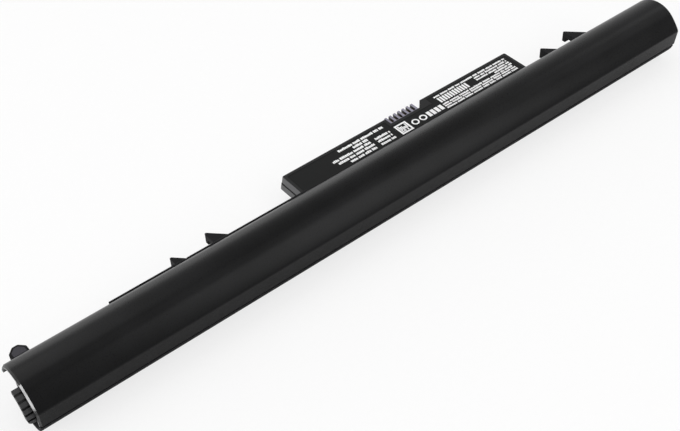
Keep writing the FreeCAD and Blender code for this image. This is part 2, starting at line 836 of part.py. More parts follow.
def make_gauge_chip():
    """A moulded package on two rows of legs. Each leg runs through under the package to the other side."""
    chip = new_body("gauge_chip")
    middle = "(bus_near + chip_inset)"
    package = rectangle(
        f"{middle} - chip_length / 2",
        f"{middle} + chip_length / 2",
        "board_middle - chip_width / 2",
        "board_middle + chip_width / 2",
    )
    pad(chip, new_sketch(chip, "XY", "strip_bottom + leg_thick / 2", package), "chip_height")
    pitch = f"(chip_length / {CHIP_LEGS})"
    first = f"({middle} - {CHIP_LEGS - 1} * {pitch} / 2)"
    leg = rectangle(
        f"{first} - {pitch} / 4",
        f"{first} + {pitch} / 4",
        "board_middle - chip_width / 2 - leg_length",
        "board_middle + chip_width / 2 + leg_length",
    )
    row = pad(chip, new_sketch(chip, "XY", "strip_bottom", leg), "leg_thick")
    repeat(chip, [row], f"{CHIP_LEGS - 1} * {pitch}", CHIP_LEGS)
    return chip


def make_blocks(label, kind, middle, back, count=1):
    """A row of plain moulded components on the board, of the kind's own length, width, height and gap."""
    blocks = new_body(label)
    blocks.AllowCompound = True
    pitch = f"({kind}_length + {kind}_gap)" if count > 1 else "0"
    start = f"({middle} - {count - 1} * {pitch} / 2 - {kind}_length / 2)"
    plan = rectangle(start, f"{start} + {kind}_length", back, f"{back} + {kind}_width")
    block = pad(blocks, new_sketch(blocks, "XY", "strip_bottom", plan), f"{kind}_height")
    if count > 1:
        repeat(blocks, [block], f"{count - 1} * {pitch}", count)
    return blocks


def tube(route, diameter, bend):
    """A round wire along straight runs, joined by tangent arcs of one bend radius."""
    edges, start = [], route[0]
    for before, corner, after in zip(route, route[1:], route[2:]):
        back, ahead = before - corner, after - corner
        half_opening = back.getAngle(ahead) / 2
        setback = bend / math.tan(half_opening)
        back, ahead = back.normalize(), ahead.normalize()
        arc_start, arc_end = corner + back * setback, corner + ahead * setback
        middle = corner + (back + ahead).normalize() * (bend / math.sin(half_opening) - bend)
        edges.append(Part.LineSegment(start, arc_start).toShape())
        edges.append(Part.Arc(arc_start, middle, arc_end).toShape())
        start = arc_end
    edges.append(Part.LineSegment(start, route[-1]).toShape())
    path = Part.Wire(edges)
    section = Part.Face(Part.Wire(Part.makeCircle(diameter / 2, route[0], route[1] - route[0])))
    solid = path.makePipe(section)
    if abs(solid.Volume / (section.Area * path.Length) - 1) > 0.01:
        raise RuntimeError("a wire's tube doesn't fill its path")
    return solid


def lead_route(start, window):
    """A wire's way from beside the cells, up along the back wall and through a window to the board."""
    corners = [start, (window, "wire_high_y", "wire_high_z"), (window, "landing_y", "wire_high_z")]
    return [Vector(*(value(text) for text in corner)) for corner in corners]


def make_sense_wire():
    wire = doc.addObject("Part::Feature", "sense_wire")
    tap = f"{link_middle(1)} + link_gap / 2"
    route = lead_route((tap, "wire_low_y", "wire_low_z"), wire_window("bus_near"))
    wire.Shape = tube(route, value("wire_diameter"), value("wire_bend"))
    return wire


def make_thermistor():
    """A bead beside the middle of the row, with its lead in one sleeve."""
    bead = doc.addObject("Part::Feature", "thermistor")
    centre = polar("cell_diameter / 2 + bead_diameter / 2 + cell_gap", "bead_angle")
    route = lead_route(("panel_offset", *centre), wire_window("panel_offset"))
    along = (route[1] - route[0]).normalize()
    drop = Part.makeCylinder(value("bead_diameter / 2"), value("bead_length"), route[0], along)
    bead.Shape = drop.fuse(tube(route, value("wire_diameter"), value("wire_bend"))).removeSplitter()
    return bead


def make_all():
    sub_parts = [
        make_tray(),
        make_outer_cover(),
        make_board_lid(),
        make_label(),
        make_connector_housing(),
        make_contacts(),
    ]
    sub_parts += [make_cell(number) for number in range(1, CELLS + 1)]
    sub_parts += [make_series_link(number) for number in range(1, CELLS)]
    sub_parts += [
        make_insulator_rings(),
        make_bus("negative_bus", "row_start - strip_fit", "bus_near", "-"),
        make_bus("positive_bus", "row_start + row_length + strip_fit", "bus_far", "+"),
        make_end_pad("near_end_pad", "trough_start + wall + strip_fit"),
        make_end_pad("far_end_pad", "trough_start + trough_length - wall - strip_fit - pad_thick"),
        make_circuit_board(),
        make_gauge_chip(),
        make_blocks("power_switches", "switch", "bus_far - switch_inset", "landing_y", 2),
        make_blocks("fuse", "fuse", "bus_far - fuse_inset", "landing_y + strip_thick"),
        make_blocks("sense_resistor", "shunt", "bus_near + shunt_inset", "landing_y + wire_diameter"),
        make_blocks(
            "capacitors",
            "capacitor",
            "bus_near + chip_inset",
            "board_middle + chip_width / 2 + leg_length + capacitor_width / 2",
            CAPACITORS,
        ),
        make_sense_wire(),
        make_thermistor(),
    ]
    return sub_parts


def check(sub_parts):
    """Stop if anything failed to build, or a cut took nothing away."""
    for thing in doc.Objects:
        if "Invalid" in thing.State or "Error" in thing.State:
            raise RuntimeError(f"{thing.Label} failed: {thing.State}")
        if thing.TypeId == "PartDesign::Pocket" and thing.Shape.Volume >= thing.BaseFeature.Shape.Volume:
            raise RuntimeError(f"{thing.Label} cuts nothing")
    for thing in sub_parts:
        if thing.Shape.isNull() or not thing.Shape.isValid():
            raise RuntimeError(f"{thing.Label} has no valid shape")


def main():
    sub_parts = make_all()
    doc.recompute()
    check(sub_parts)
    os.makedirs("parts", exist_ok=True)
    for thing in sub_parts:
        thing.Shape.exportStep(f"parts/{thing.Label}.step")
        print(f"{thing.Label}: {len(thing.Shape.Solids)} solids, {thing.Shape.Volume:.1f} cubic mm")


main()
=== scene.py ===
# %% [markdown]
# # A bar-shaped laptop battery
#
# The battery is one rigid pack. Four round cells lie in a row under a domed black cover, and a thin
# board panel with a slotted connector stands off its back. The CAD model already has every piece in
# its place, so this lesson gives it looks: finer meshes with the soft edges of moulded plastic, a
# procedural finish on each piece, and the camera and lamps of a small product studio.

# %% Load the CAD frame
import math
import random

import bmesh
import bpy
from mathutils import Matrix, Quaternion, Vector


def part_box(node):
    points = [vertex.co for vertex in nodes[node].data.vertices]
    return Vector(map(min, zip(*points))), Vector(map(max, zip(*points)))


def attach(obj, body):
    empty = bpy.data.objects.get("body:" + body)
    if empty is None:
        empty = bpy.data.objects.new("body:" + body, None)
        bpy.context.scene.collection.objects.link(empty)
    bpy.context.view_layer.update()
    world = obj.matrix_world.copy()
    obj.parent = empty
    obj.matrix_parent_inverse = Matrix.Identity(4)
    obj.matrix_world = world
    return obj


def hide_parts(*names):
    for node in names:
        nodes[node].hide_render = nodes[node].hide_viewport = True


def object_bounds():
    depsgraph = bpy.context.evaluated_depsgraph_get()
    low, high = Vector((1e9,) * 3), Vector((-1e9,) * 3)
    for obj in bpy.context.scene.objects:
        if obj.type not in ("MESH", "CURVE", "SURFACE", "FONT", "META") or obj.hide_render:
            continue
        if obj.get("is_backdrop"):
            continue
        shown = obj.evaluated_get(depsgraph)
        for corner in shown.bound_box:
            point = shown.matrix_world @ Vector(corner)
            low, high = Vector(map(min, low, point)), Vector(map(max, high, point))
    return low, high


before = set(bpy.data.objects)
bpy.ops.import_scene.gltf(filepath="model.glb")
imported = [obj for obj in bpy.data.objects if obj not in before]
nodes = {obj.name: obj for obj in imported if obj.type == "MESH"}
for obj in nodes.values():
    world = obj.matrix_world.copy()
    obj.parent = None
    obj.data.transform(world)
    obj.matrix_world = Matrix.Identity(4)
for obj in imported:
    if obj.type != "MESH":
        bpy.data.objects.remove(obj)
cad_box = [list(corner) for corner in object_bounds()]
MM = 0.001


def box_mm(node):
    """The lowest and highest corner of a CAD node, in millimetres."""
    low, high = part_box(node)
    return low / MM, high / MM


print(f"{len(nodes)} CAD nodes in a box from {cad_box[0]} to {cad_box[1]} m")

# %% [markdown]
# ## Camera
#
# The photograph looks down on the bar from its front left, at about 44 degrees. A camera could be
# turned by hand until the picture matches. Here its place and directions were solved from points of
# the object whose real distances are known, so the render lines up with the photograph. The lens
# follows from the focal length in pixels and the picture's width.

# %% Put the camera where the photograph was taken
PICTURE_WIDTH = 680
FOCAL_PIXELS = 1109.5
SENSOR_WIDTH = 36.0
CLIP_START = 10
camera_place = Vector((-174.1, -204.71, 259.08)) * MM
sight_line = Vector((0.42891, 0.57068, -0.70026)).normalized()
picture_up = Vector((0.45986, 0.52928, 0.71301))
to_the_right = sight_line.cross(picture_up).normalized()
upwards = to_the_right.cross(sight_line)

camera_data = bpy.data.cameras.new("photo_camera")
camera_data.sensor_width = SENSOR_WIDTH
camera_data.sensor_fit = "HORIZONTAL"
camera_data.lens = FOCAL_PIXELS * SENSOR_WIDTH / PICTURE_WIDTH
camera_data.clip_start = CLIP_START * MM
camera = bpy.data.objects.new("photo_camera", camera_data)
turned = Matrix((to_the_right, upwards, -sight_line)).transposed()
camera.matrix_world = Matrix.Translation(camera_place) @ turned.to_4x4()
scene = bpy.context.scene
scene.collection.objects.link(camera)
scene.camera = camera
scene.view_settings.view_transform = "Standard"
print(f"lens {camera_data.lens:.1f} mm, {camera_place.length / MM:.0f} mm from the origin")

# %% [markdown]
# ## Shader nodes in a few words
#
# Each finish below is a small tree of nodes round one Principled shader. Building the trees by hand
# in the editor would do as well, but a lesson should run from top to bottom. These helpers add a node
# with its inputs in one line. An input that is given a socket is linked, and any other is typed in.

# %% Helpers for node trees
def add_node(tree, kind, inputs=None, **settings):
    """A new node in the tree, with its inputs linked or typed in."""
    node = tree.nodes.new("ShaderNode" + kind)
    for name, setting in settings.items():
        setattr(node, name, setting)
    for name, given in (inputs or {}).items():
        if isinstance(given, bpy.types.NodeSocket):
            tree.links.new(given, node.inputs[name])
        else:
            node.inputs[name].default_value = given
    return node


def calculated(tree, operation, *amounts):
    """The result of a Math node on one or two amounts."""
    return add_node(tree, "Math", dict(enumerate(amounts)), operation=operation).outputs[0]


def new_finish(name, roughness, sheen=0.5, metallic=0.0):
    """A material with a bare Principled shader: returns the material, its tree and the shader."""
    finish = bpy.data.materials.new(name)
    finish.use_nodes = True
    shader = finish.node_tree.nodes["Principled BSDF"]
    shader.inputs["Roughness"].default_value = roughness
    shader.inputs["Specular IOR Level"].default_value = sheen
    shader.inputs["Metallic"].default_value = metallic
    return finish, finish.node_tree, shader


print("node helpers ready")

# %% [markdown]
# ## Grain
#
# No moulded surface is perfectly even. Noise textures, read in the object's own coordinates, give
# the grain: the coordinates are metres, so a grain of a given size has one over that size as its
# scale. Stretching the coordinates along an axis turns specks into streaks, which suit rolled metal.
# Most of a noise lies between 0.3 and 0.7, so that range is spread out before it is used.

# %% Helpers for grain
NOISE_LOW, NOISE_HIGH = 0.3, 0.7


def object_place(tree, stretch=(1, 1, 1)):
    """The point on the object in metres, squeezed along each axis by its stretch."""
    coordinates = add_node(tree, "TexCoord")
    shares = tuple(1 / length for length in stretch)
    mapping = add_node(tree, "Mapping", {"Vector": coordinates.outputs["Object"], "Scale": shares})
    return mapping.outputs["Vector"]


def object_axes(tree):
    """The X, Y and Z of the point on the object, in metres."""
    return add_node(tree, "SeparateXYZ", {"Vector": object_place(tree)}).outputs


def grain(tree, size_mm, detail=2.0, stretch=(1, 1, 1)):
    """Noise from 0 to 1 whose specks are about size_mm across."""
    inputs = {"Vector": object_place(tree, stretch), "Scale": 1 / (size_mm * MM), "Detail": detail}
    return add_node(tree, "TexNoise", inputs).outputs[0]


def between(tree, amount, low, high, start=NOISE_LOW, end=NOISE_HIGH):
    """Stretch an amount's range, start to end, to the range from low to high."""
    inputs = {"Value": amount, "From Min": start, "From Max": end, "To Min": low, "To Max": high}
    return add_node(tree, "MapRange", inputs).outputs["Result"]


print("grain helpers ready")

# %% [markdown]
# The grain then goes to three places of the shader: its colour, its roughness and its relief. Nearly
# every finish below uses these three helpers, with its own sizes.

# %% Helpers for colour, roughness and relief
def coloured(tree, shader, amount, dark, light):
    """Fade the colour from dark to light."""
    ramp = add_node(tree, "ValToRGB", {"Fac": amount})
    for stop, place, colour in zip(ramp.color_ramp.elements, (NOISE_LOW, NOISE_HIGH), (dark, light)):
        stop.position = place
        stop.color = (*colour, 1.0)
    tree.links.new(ramp.outputs["Color"], shader.inputs["Base Color"])


def roughened(tree, shader, specks, roughness, less=0.05, more=0.05):
    """Let the roughness change from speck to speck."""
    uneven = between(tree, specks, roughness - less, roughness + more)
    tree.links.new(uneven, shader.inputs["Roughness"])


def textured(tree, shader, height, depth_mm, strength):
    """Let the light see a relief of that depth."""
    inputs = {"Height": height, "Distance": depth_mm * MM, "Strength": strength}
    tree.links.new(add_node(tree, "Bump", inputs).outputs["Normal"], shader.inputs["Normal"])


print("colour, roughness and relief helpers ready")

# %% [markdown]
# ## Black case plastic
#
# The case is moulded in black plastic. Its tool was spark-eroded, which leaves a fine, even texture
# and a satin sheen, and the cover's is finer than the tray's. A plain black with one roughness would
# look like paint, so the colour drifts a little over centimetres, the roughness changes from speck to
# speck, and a shallow bump breaks up the highlights.

# %% Mix the case plastics
DRIFT_SIZE, MOULD_DEPTH = 14.0, 0.02


def moulded_plastic(name, dark, light, speck_mm, roughness, relief, sheen=0.2):
    """Plastic with the fine texture of its tool."""
    finish, tree, shader = new_finish(name, roughness, sheen)
    coloured(tree, shader, grain(tree, DRIFT_SIZE), dark, light)
    specks = grain(tree, speck_mm, detail=3.0)
    roughened(tree, shader, specks, roughness, more=0.06)
    textured(tree, shader, specks, MOULD_DEPTH, relief)
    return finish


COVER_SHEEN = 0.13
COVER_BLACKS = (0.006, 0.006, 0.0062), (0.009, 0.009, 0.0095)
TRAY_BLACKS = (0.007, 0.007, 0.0075), (0.011, 0.011, 0.012)
cover_plastic = moulded_plastic(
    "cover_plastic", *COVER_BLACKS, speck_mm=0.25, roughness=0.30, relief=0.08, sheen=COVER_SHEEN
)
tray_plastic = moulded_plastic(
    "tray_plastic", *TRAY_BLACKS, speck_mm=0.4, roughness=0.60, relief=0.15, sheen=0.1
)
print("mixed", cover_plastic.name, tray_plastic.name)

# %% [markdown]
# ## Outlines with soft corners
#
# Everything on the case is moulded, so nearly every shape is an outline that was stretched along one
# axis. The outlines are lists of points in millimetres. Arcs become many short lines, and a corner
# that is soft on the real piece is replaced by a few points on a curve.

# %% Helpers for outlines
CORNER_SHARE = 0.45


def arc(middle, radius, start, end, steps):
    """Points along an arc from one angle to another, in degrees, both ends included."""
    turns = [math.radians(start + (end - start) * step / steps) for step in range(steps + 1)]
    return [(middle[0] + radius * math.cos(turn), middle[1] + radius * math.sin(turn)) for turn in turns]


def softened(outline, radii, steps=4):
    """The outline, with the corners whose number is in radii rounded off."""
    points = []
    for number, corner in enumerate(outline):
        if number not in radii:
            points.append(corner)
            continue
        here = Vector(corner)
        to_before = Vector(outline[number - 1]) - here
        to_after = Vector(outline[(number + 1) % len(outline)]) - here
        start = here + to_before.normalized() * min(radii[number], CORNER_SHARE * to_before.length)
        end = here + to_after.normalized() * min(radii[number], CORNER_SHARE * to_after.length)
        for step in range(steps + 1):
            way = step / steps
            points.append(tuple(start * (1 - way) ** 2 + here * 2 * way * (1 - way) + end * way**2))
    return points


def box_outline(x_low, x_high, y_low, y_high):
    return [(x_low, y_low), (x_high, y_low), (x_high, y_high), (x_low, y_high)]


print("outline helpers ready")

# %% [markdown]
# ## From outline to moulding
#
# Blender's Bevel tool rounds edges after the fact, and small facets can stop it short. Here the
# rounding is part of the making: an outline is stretched into a ring of points at several heights,
# and near both ends the ring shrinks along a quarter circle. Done in one step, the quarter circle is a
# flat chamfer. A mitre keeps each edge's offset exact at the corners. Walls that lean, so that a
# moulding leaves its tool, shrink the ring evenly all the way up.

# %% Helpers for stretched outlines
MITRE_LIMIT = 0.3


def mitres(points):
    """The step at each corner that moves both edges beside it outwards by one."""
    steps = []
    for number, here in enumerate(points):
        ahead = (points[(number + 1) % len(points)] - here).normalized()
        behind = (here - points[number - 1]).normalized()
        normals = Vector((behind.y, -behind.x)), Vector((ahead.y, -ahead.x))
        steps.append((normals[0] + normals[1]) / max(1 + normals[0].dot(normals[1]), MITRE_LIMIT))
    return steps


def stations(low, high, edge, steps):
    """Heights of the rings with how far each is drawn in, from one end to the other."""
    if edge == 0:
        return [(low, 0.0), (high, 0.0)]
    quarter = [math.radians(90 * step / steps) for step in range(steps + 1)]
    rise = [(edge * (1 - math.sin(turn)), edge * (1 - math.cos(turn))) for turn in quarter]
    start = [(low + up, inset) for up, inset in reversed(rise)]
    return start + [(high - up, inset) for up, inset in rise]


def stretched(name, outline, low, high, edge=0.0, along="Z", lean=0.0, shares=None, steps=4):
    """Stretch an outline, in mm, along an axis: (x, y) goes up along Z, and (y, z) runs along X."""
    points = [Vector(point) for point in outline]
    turning = sum(a.x * b.y - b.x * a.y for a, b in zip(points, points[1:] + points[:1]))
    if turning < 0:
        points.reverse()
        shares = shares and shares[::-1]
    outward = mitres(points)
    shares = shares or [1.0] * len(points)
    heights = stations(low, high, edge, steps)
    corners, faces, count = [], [], len(points)
    for height, inset in heights:
        drawn_in = inset + (height - low) * math.tan(math.radians(lean))
        for point, step, share in zip(points, outward, shares):
            a, b = point - step * drawn_in * share
            corners.append(Vector((a, b, height) if along == "Z" else (height, a, b)) * MM)
    for ring in range(len(heights) - 1):
        for number in range(count):
            start, end = ring * count + number, ring * count + (number + 1) % count
            faces.append((start, end, end + count, start + count))
    last = (len(heights) - 1) * count
    faces += [tuple(reversed(range(count))), tuple(range(last, last + count))]
    mesh = bpy.data.meshes.new(name)
    mesh.from_pydata(corners, [], faces)
    piece = bpy.data.objects.new(name, mesh)
    scene.collection.objects.link(piece)
    return piece


print("stretching helpers ready")

# %% [markdown]
# ## Joining and cutting
#
# A mould makes walls, ribs and hooks in one shot. In Blender the same comes from Boolean modifiers,
# with the solver for closed meshes, whose result is then kept as the piece's own mesh. Pieces that
# don't touch one another can be gathered first, so that one Boolean takes them all.

# %% Helpers for joining and cutting
def gathered(parts):
    """One object from several that don't touch."""
    together = bmesh.new()
    for part in parts:
        together.from_mesh(part.data)
    together.to_mesh(parts[0].data)
    together.free()
    for part in parts[1:]:
        bpy.data.objects.remove(part)
    return parts[0]


def keep_result(piece):
    """Make what the modifiers give the piece's own mesh."""
    result = bpy.data.meshes.new_from_object(piece.evaluated_get(bpy.context.evaluated_depsgraph_get()))
    piece.modifiers.clear()
    piece.data = result


def worked(piece, operation, parts):
    """UNION joins the parts to the piece, and DIFFERENCE cuts them out of it."""
    tool = gathered(parts)
    change = piece.modifiers.new(operation, "BOOLEAN")
    change.operation, change.solver, change.object = operation, "MANIFOLD", tool
    keep_result(piece)
    bpy.data.objects.remove(tool)
    print(f"{piece.name}: {len(parts)} parts, {operation.lower()}, {len(piece.data.polygons)} faces")


print("joining helpers ready")

# %% [markdown]
# ## Dressing a piece
#
# A finished mesh is shaded smooth, apart from its sharp edges. The Weighted Normal modifier then keeps
# large flats even where they run into small roundings. Last, the piece gets its finish, is set on the
# pack's one rigid body and takes the place of the CAD nodes that it shows.

# %% Helpers for dressing
SHARP_ANGLE = 35


def dressed(piece, finish, slot, *replaced):
    """Shade a piece, give it its finish and set it on the pack's one rigid body."""
    mesh = piece.data
    mesh.name = piece.name
    mesh.shade_smooth()
    mesh.set_sharp_from_angle(angle=math.radians(SHARP_ANGLE))
    even = piece.modifiers.new("even_flats", "WEIGHTED_NORMAL")
    even.keep_sharp = True
    keep_result(piece)
    piece.data.materials.clear()
    piece.data.materials.append(finish)
    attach(piece, "root")
    if replaced:
        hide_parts(*replaced)
    print(f"{piece.name}: {len(piece.data.polygons)} faces, finish {finish.name}")


def painted(finish, *names):
    """Give CAD nodes that keep their own shape a finish."""
    for name in names:
        nodes[name].data.materials.clear()
        nodes[name].data.materials.append(finish)
    print(finish.name, "on", ", ".join(names))


print("dressing helpers ready")

# %% [markdown]
# ## The cover
#
# The cover is what a laptop's owner sees of the battery. Over the cells it is an arc, towards the
# front it runs straighter into a crease, and below that a flat facet leans in to its foot. It is an
# extrusion in all but its ends, where the outer edge has a small flat chamfer. So one section is drawn,
# with its lip, crease and foot softened, and stretched along the bar.

# %% Draw the cover's section
SHELL_RADIUS = 10.4
WALL = 1.0
SEAM = 0.15
AXIS = (0.0, SHELL_RADIUS)
BORE_RADIUS = SHELL_RADIUS - WALL
LIP_ANGLE = 14.0
SHOULDER_ANGLE = 132.0
SHOULDER_RADIUS = 24.0
CREASE_Y = -11.0
FACET_HEIGHT = 6.3
FACET_LEAN = 0.65
DOME_STEPS, SHOULDER_STEPS = 56, 8


def shoulder(radius, end_y):
    """Points on the flatter arc between the dome and the crease, without its first one."""
    reach = SHELL_RADIUS - SHOULDER_RADIUS
    turn = math.radians(SHOULDER_ANGLE)
    middle = (AXIS[0] + reach * math.cos(turn), AXIS[1] + reach * math.sin(turn))
    end_angle = math.degrees(math.acos((end_y - middle[0]) / radius))
    return arc(middle, radius, SHOULDER_ANGLE, end_angle, SHOULDER_STEPS)[1:]


outer_side = arc(AXIS, SHELL_RADIUS, LIP_ANGLE, SHOULDER_ANGLE, DOME_STEPS)
outer_side += shoulder(SHOULDER_RADIUS, CREASE_Y)
inner_side = arc(AXIS, BORE_RADIUS, LIP_ANGLE, SHOULDER_ANGLE, DOME_STEPS)
inner_side += shoulder(SHOULDER_RADIUS - WALL, CREASE_Y + WALL)
CREASE_Z = outer_side[-1][1]
FOOT_Y, FOOT_Z = CREASE_Y + FACET_LEAN, CREASE_Z - FACET_HEIGHT
cover_section = outer_side + [(FOOT_Y, FOOT_Z), (FOOT_Y + WALL, FOOT_Z)] + inner_side[::-1]
LIP_SOFT, CREASE_SOFT, FOOT_SOFT = 0.3, 0.5, 0.45
INNER_LIP_SOFT, INNER_FOOT_SOFT = 0.2, 0.1
foot = len(outer_side)
soft = {0: LIP_SOFT, foot - 1: CREASE_SOFT, foot: FOOT_SOFT, foot + 1: INNER_FOOT_SOFT}
soft[len(cover_section) - 1] = INNER_LIP_SOFT
cover_section = softened(cover_section, soft)
print(f"{len(cover_section)} points, crease at {outer_side[-1]}, foot at {(FOOT_Y, FOOT_Z)}")

# %% [markdown]
# At the ends only the outside of the section is drawn in, by a share that falls to nothing across the
# wall, so the bore stays straight. The chamfer is three quarters as deep as it is long.

# %% Stretch the cover along the bar
END_CHAMFER, CHAMFER_RISE = 0.6, 0.75
cover_low, cover_high = box_mm("outer_cover")


def outer_share(point):
    """1 on the cover's outside, 0 on its inside, and in between on its lip and foot."""
    depth = math.hypot(point[0] - AXIS[0], point[1] - AXIS[1]) - BORE_RADIUS
    if point[1] < CREASE_Z:
        along = (CREASE_Z - point[1]) / FACET_HEIGHT
        depth = CREASE_Y + FACET_LEAN * along + WALL - point[0]
    return min(max(depth / WALL, 0.0), 1.0)


shares = [CHAMFER_RISE * outer_share(point) for point in cover_section]
cover = stretched(
    "cover_shell", cover_section, cover_low.x, cover_high.x, END_CHAMFER, "X", shares=shares, steps=1
)
print(f"cover {cover_high.x - cover_low.x:.1f} mm long")

# %% [markdown]
# Hands rub the rims of the cover's ends, so they are smoother than the textured dome and shine more. The
# lip at the back lies in the laptop's bay and keeps its texture. A second material on the rubbed faces
# would do. Two masks do it too, and the cover keeps one finish: beyond a place near each end the sheen
# rises, but not towards the back.

# %% Polish the end rims
POLISHED_SHEEN, POLISHED_SHARE, POLISH_FADE = 0.5, 0.4, 0.04
RUBBED_BACK, TEXTURED_BACK = 3.0, 6.0
tree = cover_plastic.node_tree
shader = tree.nodes["Principled BSDF"]
axes = object_axes(tree)
from_middle = calculated(tree, "ABSOLUTE", axes["X"])
rim_start, rim_end = cover_high.x - END_CHAMFER - POLISH_FADE, cover_high.x - END_CHAMFER
on_rim = between(tree, from_middle, 0.0, 1.0, rim_start * MM, rim_end * MM)
in_hand = between(tree, axes["Y"], 1.0, 0.0, RUBBED_BACK * MM, TEXTURED_BACK * MM)
rubbed = calculated(tree, "MULTIPLY", on_rim, in_hand)
polish = between(tree, rubbed, COVER_SHEEN, POLISHED_SHEEN, 0.0, 1.0)
tree.links.new(polish, shader.inputs["Specular IOR Level"])
rough = shader.inputs["Roughness"].links[0].from_socket
smoother = between(tree, rubbed, 1.0, POLISHED_SHARE, 0.0, 1.0)
tree.links.new(calculated(tree, "MULTIPLY", rough, smoother), shader.inputs["Roughness"])
dressed(cover, cover_plastic, "case", "outer_cover")

# %% [markdown]
# ## The tray
#
# Below the cover lies the tray: a trough with two end walls whose tops plug into the cover. Its front
# is one large arc from the cover's foot to the flat underside, so little of it shows below the facet.
# A trough could be extruded from a line and thickened with a modifier. Here its section is drawn with
# both sides, because the outline helper can then soften the rims.

# %% Draw the trough's section
BACK_Y = 10.6
BACK_CORNER = 4.0
FLAT_REACH = 1.0
BACK_TOP = AXIS[1] + BORE_RADIUS * math.sin(math.radians(LIP_ANGLE)) - SEAM
FRONT_TOP = FOOT_Z - SEAM
FRONT_RADIUS = ((FOOT_Y + FLAT_REACH) ** 2 + FRONT_TOP**2) / (2 * FRONT_TOP)
FRONT_STEPS, CORNER_STEPS = 20, 14
LIP_GAP = 0.06
TROUGH_SOFT = 0.2


def trough_path(inset, top):
    """From a height on the front wall round below to the back wall, set in from the outside."""
    radius = FRONT_RADIUS - inset
    start = 180 + math.degrees(math.asin((FRONT_RADIUS - top) / radius))
    front = arc((-FLAT_REACH, FRONT_RADIUS), radius, start, 270, FRONT_STEPS)
    corner = (BACK_Y - BACK_CORNER, BACK_CORNER)
    return front + arc(corner, BACK_CORNER - inset, 270, 360, CORNER_STEPS)


def below_lip(y):
    """A height just below the end face of the cover's lip, which slopes."""
    return AXIS[1] + y * math.tan(math.radians(LIP_ANGLE)) - LIP_GAP


outside = trough_path(0, FRONT_TOP) + [(BACK_Y, below_lip(BACK_Y))]
inside = trough_path(WALL, FRONT_TOP) + [(BACK_Y - WALL, below_lip(BACK_Y - WALL))]
rims = {number: TROUGH_SOFT for number in (0, len(outside) - 1, len(outside))}
trough_section = softened(outside + inside[::-1], rims)
print(f"{len(trough_section)} points, back wall up to {below_lip(BACK_Y):.2f} mm")

# %% [markdown]
# The trough's section runs along the bar, and each end gets a wall that fills it and rises into the
# cover. The near wall is set back, because the tongue comes out there, so a skirt closes the front below
# the cover's foot up to its end.

# %% Shape the trough
NEAR_RECESS, FAR_RECESS, SKIRT_RECESS = 2.4, 0.9, 0.1
TRAY_START, TRAY_END = cover_low.x + NEAR_RECESS, cover_high.x - FAR_RECESS
PLUG_RADIUS = BORE_RADIUS - SEAM
PLUG_STEPS = 60
TRAY_EDGE, SKIRT_EDGE, FAR_WALL_INSET = 0.1, 0.2, 0.05


def plug_path():
    """Over the plug, from the back wall's top to the front's."""
    start = math.degrees(math.asin((BACK_TOP - AXIS[1]) / PLUG_RADIUS))
    end = 180 - math.degrees(math.asin((FRONT_TOP - AXIS[1]) / PLUG_RADIUS))
    return arc(AXIS, PLUG_RADIUS, start, end, PLUG_STEPS)


tray = stretched("tray_moulding", trough_section, TRAY_START, TRAY_END, TRAY_EDGE, "X")
wall_section = trough_path(WALL / 2, FRONT_TOP) + [(BACK_Y - WALL / 2, BACK_TOP)] + plug_path()
end_walls = [
    stretched("end_wall", wall_section, start, start + WALL, TRAY_EDGE, "X")
    for start in (TRAY_START, TRAY_END - WALL - FAR_WALL_INSET)
]
worked(tray, "UNION", end_walls)
skirt_outer, skirt_inner = (trough_path(inset, FRONT_TOP)[: FRONT_STEPS + 1] for inset in (0, WALL))
skirt_start, wall_middle = cover_low.x + SKIRT_RECESS, TRAY_START + WALL / 2
skirt = stretched("skirt", skirt_outer + skirt_inner[::-1], skirt_start, wall_middle, SKIRT_EDGE, "X")
worked(tray, "UNION", [skirt])

# %% [markdown]
# ## What stands on the tray
#
# Under each cell are two saddles cut to its round. A grooved tongue comes out from under the cover's
# near rim and catches in the laptop's case. A guide rail runs along the back wall, and a lug stands out
# from it at the tongue's end. All of these are stretched outlines too. The saddles, the rails and the lug
# don't touch one another, so they join the trough in one go.

# %% Saddles under the cells
SADDLE_RADIUS = 9.3
SADDLE_THICK = 1.2
SADDLE_INSET = 9.0
SADDLE_END = 300.0
saddle_top = FRONT_TOP - SEAM
high_end = 180 + math.degrees(math.asin((AXIS[1] - saddle_top) / SADDLE_RADIUS))
round_seat = arc(AXIS, SADDLE_RADIUS, SADDLE_END, high_end, steps=24)
under_seat = [point for point in trough_path(WALL / 2, saddle_top) if point[0] < round_seat[0][0]]
saddle = under_seat + [(round_seat[0][0], WALL / 2)] + round_seat
ribs = []
for name in ("cell_1", "cell_2", "cell_3", "cell_4"):
    cell_low, cell_high = box_mm(name)
    for start in (cell_low.x + SADDLE_INSET, cell_high.x - SADDLE_INSET - SADDLE_THICK):
        ribs.append(stretched("saddle", saddle, start, start + SADDLE_THICK, along="X"))
print(f"{len(ribs)} saddles")

# %% [markdown]
# The tongue is a piece of the same round as the plug, with grooves across it. Its outline goes up and
# down over the ribs and back along the inside. A cutter then rounds the corner of its foot: it is drawn
# flat, and a matrix turns it to face the foot square on.

